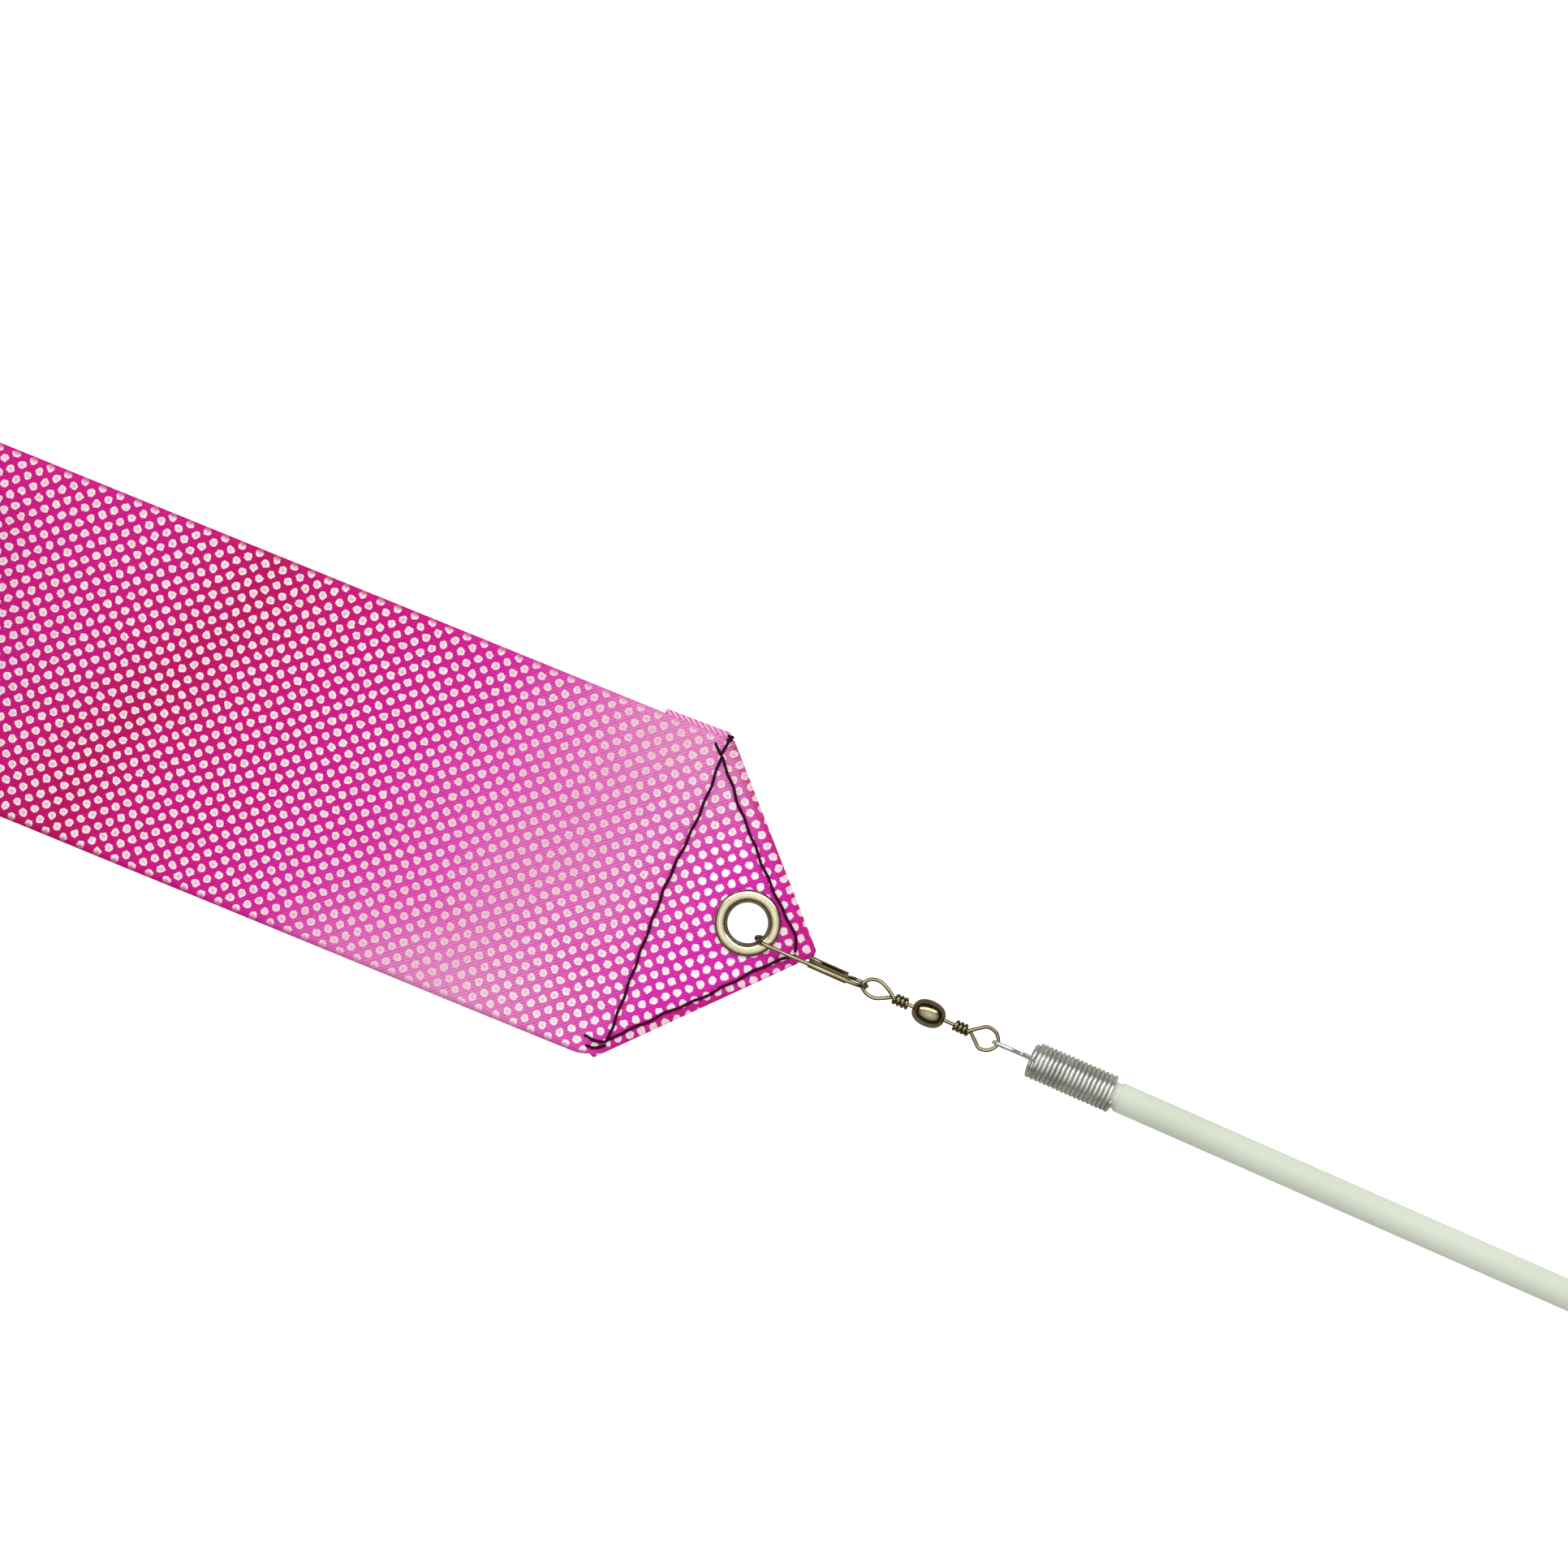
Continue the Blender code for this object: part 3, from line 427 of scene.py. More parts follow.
def bare_selvedge():
    """The satin's unprinted selvedge: pale pink, with the twill's slanting lines plain to see."""
    material, add, shader = new_material("satin_selvedge")
    cloth = add("UVMap", uv_map="cloth")
    # lines 0.36 mm apart, drawn 0.6 mm apart so that they show
    across = add("VectorMath", (cloth, (-0.62, 0.78, 0.0)), "DOT_PRODUCT", out="Value")
    phase = add("Math", (across, 2 * math.pi / (0.6 * MM)), "MULTIPLY")
    line = add("Math", (phase,), "SINE")
    share = add("MapRange", (line, -0.6, 0.8, 0.0, 1.0))
    shade = add("Mix", {0: share, 6: "#DC62AE", 7: "#F0BCD8"}, data_type="RGBA", out=2)
    bump = add("Bump", {"Strength": 0.4, "Distance": 0.00005, "Height": line})
    fill(shader, {"Base Color": shade, "Normal": bump, "Roughness": 0.5, "Specular IOR Level": 0.10})
    return material


def sewing_thread(look):
    """Spun polyester thread: matt, with a fine twist that breaks its highlight."""
    material, add, shader = new_material("spun_polyester_thread")
    place = add("TexCoord", out="Object")
    twist = add("TexWave", {"Vector": place, "Scale": 1800.0, "Distortion": 2.0},
                bands_direction="DIAGONAL", out="Fac")
    shade = add("Mix", {0: twist, 6: (*look.thread, 1.0), 7: "#4A0530"}, data_type="RGBA", out=2)
    bump = add("Bump", {"Strength": 0.5, "Distance": 0.00003, "Height": twist})
    fill(shader, {"Base Color": shade, "Normal": bump, "Roughness": 0.85, "Specular IOR Level": 0.04})
    return material


def plated(name, tint, darker, roughness, grain_mm, metal=1.0):
    """Nickel plate over brass, or drawn steel: bright metal whose tone drifts and whose gloss is scuffed.

    Drawing or pressing leaves fine marks; grain_mm is how far apart they lie. Zinc-plated wire has a
    milky skin, so its metal share is under one.
    """
    material, add, shader = new_material(name)
    place = add("TexCoord", out="Object")
    drift = add("TexNoise", {"Vector": place, "Scale": 420.0, "Detail": 4.0})
    share = add("MapRange", (drift, 0.38, 0.68, 0.0, 1.0))
    shade = add("Mix", {0: share, 6: tint, 7: darker}, data_type="RGBA", out=2)
    marks = add("TexNoise", {"Vector": place, "Scale": 1 / (grain_mm * MM), "Detail": 2.0,
                             "Roughness": 0.7})
    gloss = add("MapRange", (marks, 0.3, 0.7, roughness * 0.75, roughness * 1.5))
    bump = add("Bump", {"Strength": 0.12, "Distance": 0.00002, "Height": marks})
    fill(shader, {"Base Color": shade, "Roughness": gloss, "Normal": bump, "Metallic": metal})
    return material


def rod_fibreglass(look):
    """Solid fibreglass, ground smooth: an ivory resin with faint lengthwise fibres and a soft matt skin."""
    material, add, shader = new_material("ground_fibreglass")
    place = add("TexCoord", out="Object")
    drawn = add("Mapping", {"Vector": place, "Scale": (12.0, 900.0, 900.0)})
    fibres = add("TexNoise", {"Vector": drawn, "Scale": 1.0, "Detail": 3.0})
    cloud = add("TexNoise", {"Vector": place, "Scale": 38.0, "Detail": 2.0})
    mixed = add("Math", (fibres, 0.45, cloud), "MULTIPLY_ADD")
    share = add("MapRange", (mixed, 0.5, 0.95, 0.0, 1.0))
    shade = add("Mix", {0: share, 6: (*look.rod, 1.0), 7: "#D6DCCD"}, data_type="RGBA", out=2)
    bump = add("Bump", {"Strength": 0.15, "Distance": 0.00003, "Height": fibres})
    fill(shader, {"Base Color": shade, "Normal": bump, "Roughness": 0.48, "Specular IOR Level": 0.4,
                  "Subsurface Weight": 0.08, "Subsurface Radius": (0.002, 0.002, 0.0016),
                  "Subsurface Scale": 1.0})
    return material


def grip_rubber(look):
    """Moulded black rubber: matt, with a fine pebble from its mould and dust in the low places."""
    material, add, shader = new_material("moulded_rubber")
    place = add("TexCoord", out="Object")
    pebble = add("TexVoronoi", {"Vector": place, "Scale": 1400.0}, out="Distance")
    dust = add("TexNoise", {"Vector": place, "Scale": 160.0, "Detail": 5.0})
    share = add("MapRange", (dust, 0.45, 0.75, 0.0, 0.5))
    shade = add("Mix", {0: share, 6: (*look.rubber, 1.0), 7: "#3A3A3C"}, data_type="RGBA", out=2)
    bump = add("Bump", {"Strength": 0.5, "Distance": 0.00012, "Height": pebble})
    rough = add("MapRange", (dust, 0.3, 0.7, 0.62, 0.82))
    fill(shader, {"Base Color": shade, "Normal": bump, "Roughness": rough})
    return material


def moulded_abs():
    """Black ABS from a spark-eroded mould: satin, with a very fine grain and rubbed edges."""
    material, add, shader = new_material("moulded_abs")
    place = add("TexCoord", out="Object")
    grain = add("TexNoise", {"Vector": place, "Scale": 3000.0, "Detail": 2.0})
    rubbed = add("TexNoise", {"Vector": place, "Scale": 210.0, "Detail": 4.0})
    share = add("MapRange", (rubbed, 0.5, 0.8, 0.0, 0.6))
    shade = add("Mix", {0: share, 6: "#202022", 7: "#38383B"}, data_type="RGBA", out=2)
    gloss = add("MapRange", (rubbed, 0.3, 0.7, 0.34, 0.5))
    bump = add("Bump", {"Strength": 0.2, "Distance": 0.00004, "Height": grain})
    fill(shader, {"Base Color": shade, "Roughness": gloss, "Normal": bump})
    return material


materials = {}


def finish_named(name):
    """The material of that short name, made the first time it is asked for."""
    scene = bpy.context.scene
    look = scene.ribbon_colours
    makers = {
        "satin_face": lambda: satin("foil_dot_satin", look, scene.ribbon_sizes, True),
        "satin_back": lambda: satin("satin_reverse", look, scene.ribbon_sizes, False),
        "selvedge": bare_selvedge,
        "thread": lambda: sewing_thread(look),
        "eyelet": lambda: plated("nickel_plated_brass", (*look.eyelet, 1.0), "#BDB496", 0.2, 0.25),
        "wire": lambda: plated("nickel_plated_wire", (*look.nickel, 1.0), "#8C8062", 0.11, 0.4),
        "steel": lambda: plated("drawn_steel_wire", (*look.steel, 1.0), "#CFCFCA", 0.26, 0.35, 0.82),
        "rod": lambda: rod_fibreglass(look),
        "rubber": lambda: grip_rubber(look),
        "abs": moulded_abs,
    }
    if name not in materials:
        materials[name] = makers[name]()
    return materials[name]


# ---------------------------------------------------------------- ribbon

EYELET = middle("eyelet")
ROLL = middle("ribbon_roll")
ROLL_RADIUS = size_of("ribbon_roll").z / 2
EYELET_FROM_TIP = Vector((-10.6, 0.4)) * MM
TABLE_BELOW = -HOOK.z
# Millimetres along the middle line from the tip to where each fold meets its selvedge
UPPER_SHOULDER = -22.6
LOWER_SHOULDER = -24.5


def ribbon_matrix(sizes):
    """From the flat ribbon's own axes, with the tip at zero and +X forwards, to the row frame."""
    turn = Matrix.Rotation(sizes.yaw, 4, "Z")
    tip = Vector((EYELET.x, EYELET.y, HOOK.z)) - turn @ Vector((*EYELET_FROM_TIP, 0.0))
    middle_line = turn @ Vector((0.0, sizes.tip_offset, 0.0))
    return Matrix.Translation(tip - middle_line) @ turn


def pucker(x, y):
    """Small unevenness near the seams, in metres; it fades out behind the stitched point."""
    fade = 1.0 - ease((-x / MM - 22.0) / 16.0)
    fine = noise.noise(Vector((x / MM * 0.42, y / MM * 0.42, 3.0)))
    return 0.10 * MM * fine * (0.25 + 0.75 * fade)


def waves(sizes, x, y):
    """Soft waves of the part that lies on the table, leaning across the ribbon."""
    behind = -x / MM
    free = ease((behind - 34.0) / 40.0) * (1.0 - ease((behind - 118.0) / 36.0))
    lean = behind + 0.42 * y / MM
    swell = 0.5 - 0.5 * math.cos(2 * math.pi * (lean - 48.0) / 57.0)
    edge = abs(y) / (sizes.width / 2)
    flutter = 0.16 * edge ** 3 * (1 + math.sin(behind * 0.21 + (2.0 if y > 0 else 0.0)))
    return MM * free * (0.75 * swell + flutter)


def cloth_level(sizes, x, y):
    """Height of the top layer's middle over the tip's, at a place of the laid ribbon."""
    down = ease((-x - sizes.lift_start) / (sizes.lift_end - sizes.lift_start))
    drop = TABLE_BELOW + sizes.thickness / 2 - sizes.fold_radius
    return drop * down + waves(sizes, x, y) + pucker(x, y)


def fold_lines(sizes):
    """The two lines that the corners fold on: an outward normal for each, through the tip."""
    half = sizes.width / 2
    tip = Vector((0.0, sizes.tip_offset))
    shoulders = (Vector((UPPER_SHOULDER * MM, half)), Vector((LOWER_SHOULDER * MM, -half)))
    lines = []
    for shoulder, side in zip(shoulders, (1.0, -1.0)):
        way = (shoulder - tip).normalized()
        lines.append((Vector((way.y, -way.x)) * side, side))
    return tip, lines


def painted_fold_shade_at(sizes, x, y):
    """Share of painted fold shade there, for how far the cloth turns away from its flat lie: one at the two folds,
    fading inwards.
    """
    tip, lines = fold_lines(sizes)
    behind = -x / MM
    sewn = 1.0 - ease((behind - 22.0) / 3.0)
    value = 0.55 * (1.0 - ease((behind - 3.0) / 8.0))
    for (normal, side), reach in zip(lines, (1.3, 2.0)):
        past = abs((Vector((x, y)) - tip).dot(normal)) / MM
        if side * (y - tip.y) >= -MM:
            value = max(value, 0.8 * (1.0 - ease((past - 0.1) / reach)))
    return value * sewn


def lay_corner(sizes, x, y):
    """Folds a place under the point if it is past a fold line. Returns x, y and the layer's height."""
    tip, lines = fold_lines(sizes)
    corner = (Vector((x, y)) - Vector((LOWER_SHOULDER * MM, -sizes.width / 2))).length
    drawn_in = 2.6 * MM
    if corner < drawn_in:
        # the lower shoulder is drawn in by its stitches, so its corner is round
        blunted = 0.55 * (1.0 - corner / drawn_in) ** 2
        x, y = x - 0.25 * blunted * MM, y + blunted * MM
    radius = sizes.fold_radius
    for normal, side in lines:
        past = (Vector((x, y)) - tip).dot(normal)
        if past > 0 and side * (y - tip.y) >= 0:
            foot = Vector((x, y)) - normal * past
            if past < math.pi * radius:
                angle = past / radius
                spot = foot + normal * (radius * math.sin(angle))
                return spot.x, spot.y, radius * math.cos(angle)
            spot = foot - normal * (past - math.pi * radius)
            return spot.x, spot.y, -radius
    return x, y, radius


def wind(sizes, place, behind, y, flat):
    """A place on the roll: behind is the distance from the tip along the cloth."""
    outer = ROLL_RADIUS - sizes.thickness / 2
    run = behind - flat
    pitch = sizes.roll_pitch
    turn = (outer - math.sqrt(max(outer * outer - pitch * run / math.pi, 0.0))) * 2 * math.pi / pitch
    radius = outer - pitch * turn / (2 * math.pi)
    radius += 0.05 * MM * math.sin(turn * 2.3) * min(1.0, turn)
    shift = 0.28 * MM * noise.noise(Vector((turn * 0.11, 7.0, 1.0))) * min(1.0, turn / 6)
    centre_z = TABLE_BELOW + outer + sizes.thickness / 2
    return Vector((-flat - radius * math.sin(turn), y + shift, centre_z - radius * math.cos(turn)))


def stations(start, end, step):
    count = max(1, round((end - start) / step))
    return [start + (end - start) * i / count for i in range(count + 1)]


def flat_cloth(bm, behinds, half, columns):
    """A flat grid of cloth with its rows at those distances behind the tip."""
    made = bmesh.ops.create_grid(bm, x_segments=len(behinds) - 1, y_segments=columns, size=1.0)
    for vert in made["verts"]:
        row = round((vert.co.x + 1) / 2 * (len(behinds) - 1))
        vert.co = Vector((-behinds[row], vert.co.y * half, 0.0))
    bmesh.ops.reverse_faces(bm, faces=list({face for vert in made["verts"] for face in vert.link_faces}))


def keep_flat_places(bm, uv):
    """Keeps each vertex's flat place, in metres, as its UV."""
    for face in bm.faces:
        for loop in face.loops:
            loop[uv].uv = (-loop.vert.co.x, loop.vert.co.y)


def thicken(cloth, sizes):
    """Gives a sheet of cloth its thickness, half to each side."""
    solid = cloth.modifiers.new("Cloth thickness", "SOLIDIFY")
    solid.thickness = sizes.thickness
    solid.offset = 0.0
    return solid


def make_ribbon(sizes):
    """The whole ribbon as one sheet: folded point, flat stretch and the wound rest."""
    half = sizes.width / 2
    place = ribbon_matrix(sizes)
    roll_spot = place.inverted() @ Vector((ROLL.x, ROLL.y, HOOK.z))
    flat = -roll_spot.x
    # rows lie closest on the point, where the cloth is folded and sewn, and widest in the roll
    point_end = 62.0 * MM
    wrap_end = flat + 190.0 * MM
    near = stations(0.0, point_end, 0.78 * MM)
    far = stations(point_end, flat, 1.6 * MM)[1:]
    wrap = stations(flat, wrap_end, 2.4 * MM)[1:]
    rest = stations(wrap_end, sizes.total, 2.8 * MM)

    fine = bmesh.new()
    uv = fine.loops.layers.uv.new("cloth")
    flat_cloth(fine, near + far + wrap, half, 52)
    tip, lines = fold_lines(sizes)
    for normal, side in lines:
        for step in range(5):
            past = math.pi * sizes.fold_radius * step / 4
            spot = tip + normal * past
            near_faces = [f for f in fine.faces if f.calc_center_median().x > -0.034
                          and side * (f.calc_center_median().y - tip.y) > -0.002]
            geometry = list({v for f in near_faces for v in f.verts}
                            | {e for f in near_faces for e in f.edges} | set(near_faces))
            bmesh.ops.bisect_plane(fine, geom=geometry, dist=1e-7, plane_co=(spot.x, spot.y, 0.0),
                                   plane_no=(normal.x, normal.y, 0.0))
    keep_flat_places(fine, uv)
    # each vertex keeps its share of the painted fold shade, for the satin material to read
    crease = fine.verts.layers.float.new("crease")
    for vert in fine.verts:
        behind = -vert.co.x
        vert[crease] = painted_fold_shade_at(sizes, vert.co.x, vert.co.y)
        if behind > flat:
            vert.co = wind(sizes, place, behind, vert.co.y, flat)
        else:
            x, y, layer = lay_corner(sizes, vert.co.x, vert.co.y)
            vert.co = Vector((x, y, layer + cloth_level(sizes, x, y)))
    eyelet = place.inverted() @ Vector((EYELET.x, EYELET.y, HOOK.z))
    hole = [f for f in fine.faces if (f.calc_center_median().xy - eyelet.xy).length < 3.75 * MM]
    bmesh.ops.delete(fine, geom=hole, context="FACES")

    coarse = bmesh.new()
    uv = coarse.loops.layers.uv.new("cloth")
    flat_cloth(coarse, rest, half, 8)
    keep_flat_places(coarse, uv)
    for vert in coarse.verts:
        vert.co = wind(sizes, place, -vert.co.x, vert.co.y, flat)
    spare = bpy.data.meshes.new("wound")
    coarse.to_mesh(spare)
    coarse.free()
    fine.from_mesh(spare)
    bpy.data.meshes.remove(spare)
    ribbon = new_piece(fine, "satin_ribbon", "satin_face", "ribbon",
                       ("ribbon_cloth", "ribbon_roll", "corner_fold_left", "corner_fold_right"),
                       place, angle=70.0)
    ribbon.data.materials.append(finish_named("satin_back"))
    solid = thicken(ribbon, sizes)
    solid.material_offset = 1
    solid.material_offset_rim = 0
    return ribbon


def make_tab(sizes):
    """The end of a turned-under selvedge, which shows past the edge beside the upper shoulder."""
    bm = bmesh.new()
    uv = bm.loops.layers.uv.new("cloth")
    made = bmesh.ops.create_grid(bm, x_segments=14, y_segments=4, size=1.0)
    for face in bm.faces:
        for loop in face.loops:
            loop[uv].uv = ((1 - loop.vert.co.x) * 5 * MM, loop.vert.co.y * 2 * MM)
    half = sizes.width / 2
    for vert in made["verts"]:
        x = (-28.0 + 4.95 * vert.co.x) * MM
        y = half + (-1.0 + 1.9 * vert.co.y - 0.12 * (1 - vert.co.x)) * MM
        vert.co = Vector((x, y, -sizes.fold_radius + cloth_level(sizes, x, y)))
    tab = new_piece(bm, "selvedge_tab", "selvedge", "ribbon", place=ribbon_matrix(sizes))
    thicken(tab, sizes)
    return tab


# Stitch lines on the point: (x, y) in millimetres from the tip along the middle line
CROSS_SEAM = [(-23.1, 22.3), (-22.86, 17.3), (-23.0, 11.3), (-23.5, 2.9), (-23.4, -4.0), (-23.3, -8.0),
              (-23.0, -17.4), (-22.95, -22.0)]
UPPER_SEAM = [(-22.95, 22.1), (-20.3, 19.2), (-18.2, 16.7), (-15.0, 13.4), (-11.8, 10.0), (-8.6, 6.9),
              (-6.3, 4.8), (-4.6, 3.4), (-3.4, 2.0), (-2.6, 0.2)]
LOWER_SEAM = [(-23.0, -21.9), (-21.4, -19.95), (-19.0, -17.5), (-17.0, -15.25), (-15.1, -13.35),
              (-12.8, -11.1), (-10.8, -8.8), (-8.8, -6.5), (-7.0, -4.35), (-5.2, -2.5), (-2.5, -0.1)]
TAILS = [[(-24.7, 23.6), (-23.9, 23.0), (-23.1, 22.4)], [(-23.1, 22.4), (-23.0, 24.0), (-22.8, 25.6)],
         [(-26.3, -22.3), (-24.6, -22.4), (-23.0, -21.9)], [(-25.6, -23.6), (-24.2, -23.4), (-22.9, -22.3)],
         [(-23.1, 24.6), (-22.85, 25.1), (-22.6, 25.5)], [(-23.25, 25.2), (-22.9, 25.35), (-22.5, 25.0)]]


def stitched(bm, sizes, seam, under):
    """Lays short stitches end to end along a seam; each dips into the cloth at both ends."""
    path = smooth_path([(x * MM, y * MM, 0.0) for x, y in seam], 24)
    run = [0.0]
    for a, b in zip(path, path[1:]):
        run.append(run[-1] + (b - a).length)
    count = max(1, round(run[-1] / sizes.stitch))
    radius = sizes.thread / 2
    layer = sizes.fold_radius + sizes.thickness / 2
    for index in range(count):
        points = []
        for step in range(7):
            share = step / 6
            at = (index + 0.03 + 0.94 * share) / count * run[-1]
            spot = next(i for i in range(1, len(run)) if run[i] >= at - 1e-9)
            part = (at - run[spot - 1]) / max(run[spot] - run[spot - 1], 1e-9)
            here = path[spot - 1].lerp(path[spot], part)
            way = (path[spot] - path[spot - 1]).normalized()
            side = Vector((-way.y, way.x, 0.0))
            sway = (0.10 if index % 2 else -0.10) * MM * (share - 0.5) * 2
            here = here + side * sway
            arch = 4 * share * (1 - share)
            rise = layer + radius * (0.25 + 0.75 * min(1.0, 1.6 * arch))
            base = cloth_level(sizes, here.x, here.y)
            points.append(Vector((here.x, here.y, base - rise if under else base + rise)))
        sweep(bm, points, radius, sides=8)


def make_stitching(sizes):
    for name, node, under in (("needle_stitches", "needle_thread", False),
                              ("bobbin_stitches", "bobbin_thread", True)):
        bm = bmesh.new()
        for seam in [CROSS_SEAM, UPPER_SEAM, LOWER_SEAM] + ([] if under else TAILS):
            stitched(bm, sizes, seam, under)
        new_piece(bm, name, "thread", "ribbon", (node,), ribbon_matrix(sizes))


def make_eyelet(hardware, sizes):
    """The pressed eyelet: a domed rim, a round throat and a curl that grips the washer behind."""
    bore = hardware.eyelet_bore / MM
    rim = hardware.eyelet_radius / MM
    low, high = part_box("eyelet")
    top = (high[2] - HOOK.z) / MM
    bottom = (low[2] - HOOK.z) / MM
    seat = (sizes.fold_radius + sizes.thickness / 2) / MM + 0.03
    dome = (rim + bore) / 2 + 0.12
    outline = [(rim - 0.12, seat), (rim, seat + 0.12)]
    outline += [(dome + (rim - dome) * math.cos(a), seat + 0.12 + (top - seat - 0.12) * math.sin(a))
                for a in (0.35, 0.7, 1.05, 1.35, math.pi / 2)]
    outline += [(dome - (dome - bore) * math.sin(a), top - (top + 0.05) * (1 - math.cos(a)))
                for a in (0.25, 0.5, 0.75, 1.0, 1.25, math.pi / 2)]
    throat = [(0.03, -0.3), (0.18, -0.65), (0.5, bottom + 0.08), (0.75, bottom), (1.0, bottom + 0.12),
              (1.12, bottom + 0.34), (0.85, bottom + 0.36), (0.62, bottom + 0.34), (0.36, -0.6), (0.3, seat)]
    outline += [(bore + out, height) for out, height in throat]
    turned("pressed_eyelet", "eyelet", "ribbon", "eyelet", outline,
           Matrix.Translation((EYELET.x, EYELET.y, HOOK.z)), steps=128, angle=60)
    washer = frame["nodes"]["eyelet_washer"]
    washer.data.materials.clear()
    washer.data.materials.append(finish_named("eyelet"))


# ---------------------------------------------------------------- snap and swivel

def snap_matrix():
    """From the snap's own upright plane, in metres from its pivot, to the row frame."""
    side = SNAP_AXIS.normalized()
    ahead = Vector((1.0, 0.0, 0.0))
    return Matrix.Translation(SNAP_PIVOT) @ Matrix((ahead, side, ahead.cross(side))).transposed().to_4x4()


def make_snap(hardware):
    """The bent wire, its springy latch arm and the folded sheet that holds them."""
    to_mm = snap_matrix().inverted()
    arm = hardware.hook_radius / MM
    wire = hardware.snap_wire / MM
    clip_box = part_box("snap_clip")
    clip_start = (clip_box[0][0] - SNAP_PIVOT.x) / MM
    clip_end = (clip_box[1][0] - SNAP_PIVOT.x) / MM
    hook = (HOOK.x - SNAP_PIVOT.x) / MM
    bend = hook + arm
    rear = wire / 2 + hardware.swivel_wire / MM / 2 + 0.06
    inner = arm - wire - 0.06
    loop = [
        (clip_start + 0.6, inner), (clip_end - 3.0, inner), (clip_end - 1.2, inner - 0.7),
        (clip_end + 0.6, -0.9), (-0.6, -1.25), (rear - 0.35, -0.8), (rear, 0.0), (rear - 0.35, 0.9),
        (-0.6, 1.6), (clip_end, arm), (clip_end - 1.5, arm),
    ]
    path = smooth_path([(x, 0.0, z) for x, z in loop], 8)
    path += [Vector((x, 0.0, z)) for x, z in arc((bend, 0.0), arm, 90, 270, 32)]
    bm = bmesh.new()
    sweep(bm, [p * MM for p in path], wire / 2 * MM, sides=16)
    new_piece(bm, "snap_bent_wire", "wire", "snap", ("snap_wire",), snap_matrix())

    pivot = to_mm @ LATCH_PIVOT
    reach = size_of("snap_latch_arm").x
    bm = bmesh.new()
    arm_path = [pivot + Vector((reach * i / 10, 0.0, 0.0)) for i in range(11)]
    sweep(bm, arm_path, wire / 2 * MM * 0.98, sides=16)
    new_piece(bm, "snap_sprung_arm", "wire", "latch", ("snap_latch_arm",), snap_matrix())

    outside = wire / 2 + 0.17
    inside = wire / 2 + 0.03
    lip = -arm - inside
    section = arc((0.0, arm), outside, 0, 180, 12)
    section += [(-outside, lip - 0.05)] + arc((-outside + 0.2, lip), 0.2, 180, 270, 4)[1:]
    section += [(inside * 0.8, lip - 0.2), (inside * 0.8, lip - 0.06), (-inside + 0.06, lip - 0.06)]
    section += [(-inside, lip)] + arc((0.0, arm), inside, 180, 0, 12) + [(inside, 0.8), (outside, 0.8)]
    bm = bmesh.new()
    verts = [bm.verts.new((clip_start * MM, y * MM, z * MM)) for y, z in section]
    face = bm.faces.new(verts)
    made = bmesh.ops.extrude_face_region(bm, geom=[face])["geom"]
    moved = [item for item in made if isinstance(item, bmesh.types.BMVert)]
    bmesh.ops.translate(bm, vec=((clip_end - clip_start) * MM, 0.0, 0.0), verts=moved)
    bmesh.ops.recalc_face_normals(bm, faces=bm.faces)
    sharp = [edge for edge in bm.edges if edge.calc_face_angle(0.0) > 1.2]
    bmesh.ops.bevel(bm, geom=sharp, offset=0.03 * MM, segments=2, profile=0.5, affect="EDGES", material=-1)
    new_piece(bm, "snap_folded_clip", "wire", "snap", ("snap_clip",), snap_matrix(), 30)


def eye_path(hardware, tip, ring_length, ring_width, side, lower_share):
    """Head, shank, ring and wraps of one swivel eye, in millimetres from the barrel's middle."""
    wire = hardware.swivel_wire / MM
    half_width = ring_width / 2 - wire / 2
    base = tip - side * (ring_length - wire)
    head = side * 1.2
    lower = half_width * lower_share
    wrap_radius = wire + 0.02
    shank = [(head, 0, 0), (head + side * 0.3, 0, 0), (head + side * 0.45, 0, 0), (base - side * 0.4, 0, 0)]
    ring = [
        (base, 0.0, 0.0), (base + side * 1.1, -lower * 0.55, 0.0), (tip - side * 2.2, -lower, 0.0),
        (tip - side * 0.8, -lower * 0.78, 0.0), (tip, 0.0, 0.0), (tip - side * 0.8, half_width * 0.8, 0.0),
        (tip - side * 2.2, half_width, 0.1), (base + side * 1.0, half_width * 0.62, 0.3),
    ]
    wraps = []
    for i in range(round(hardware.wraps * 24) + 1):
        angle = math.pi / 2 + 2 * math.pi * i / 24
        x = base - side * (0.35 + 0.64 * i / 24)
        wraps.append((x, wrap_radius * math.cos(angle), wrap_radius * math.sin(angle)))
    loop = smooth_path([shank[-1], *ring, wraps[0]], 10)[1:]
    path = [Vector(p) for p in shank] + loop + [Vector(p) for p in wraps[1:]]
    heads = 0.95 / (wire / 2)
    return path, [heads, heads] + [1.0] * (len(path) - 2)


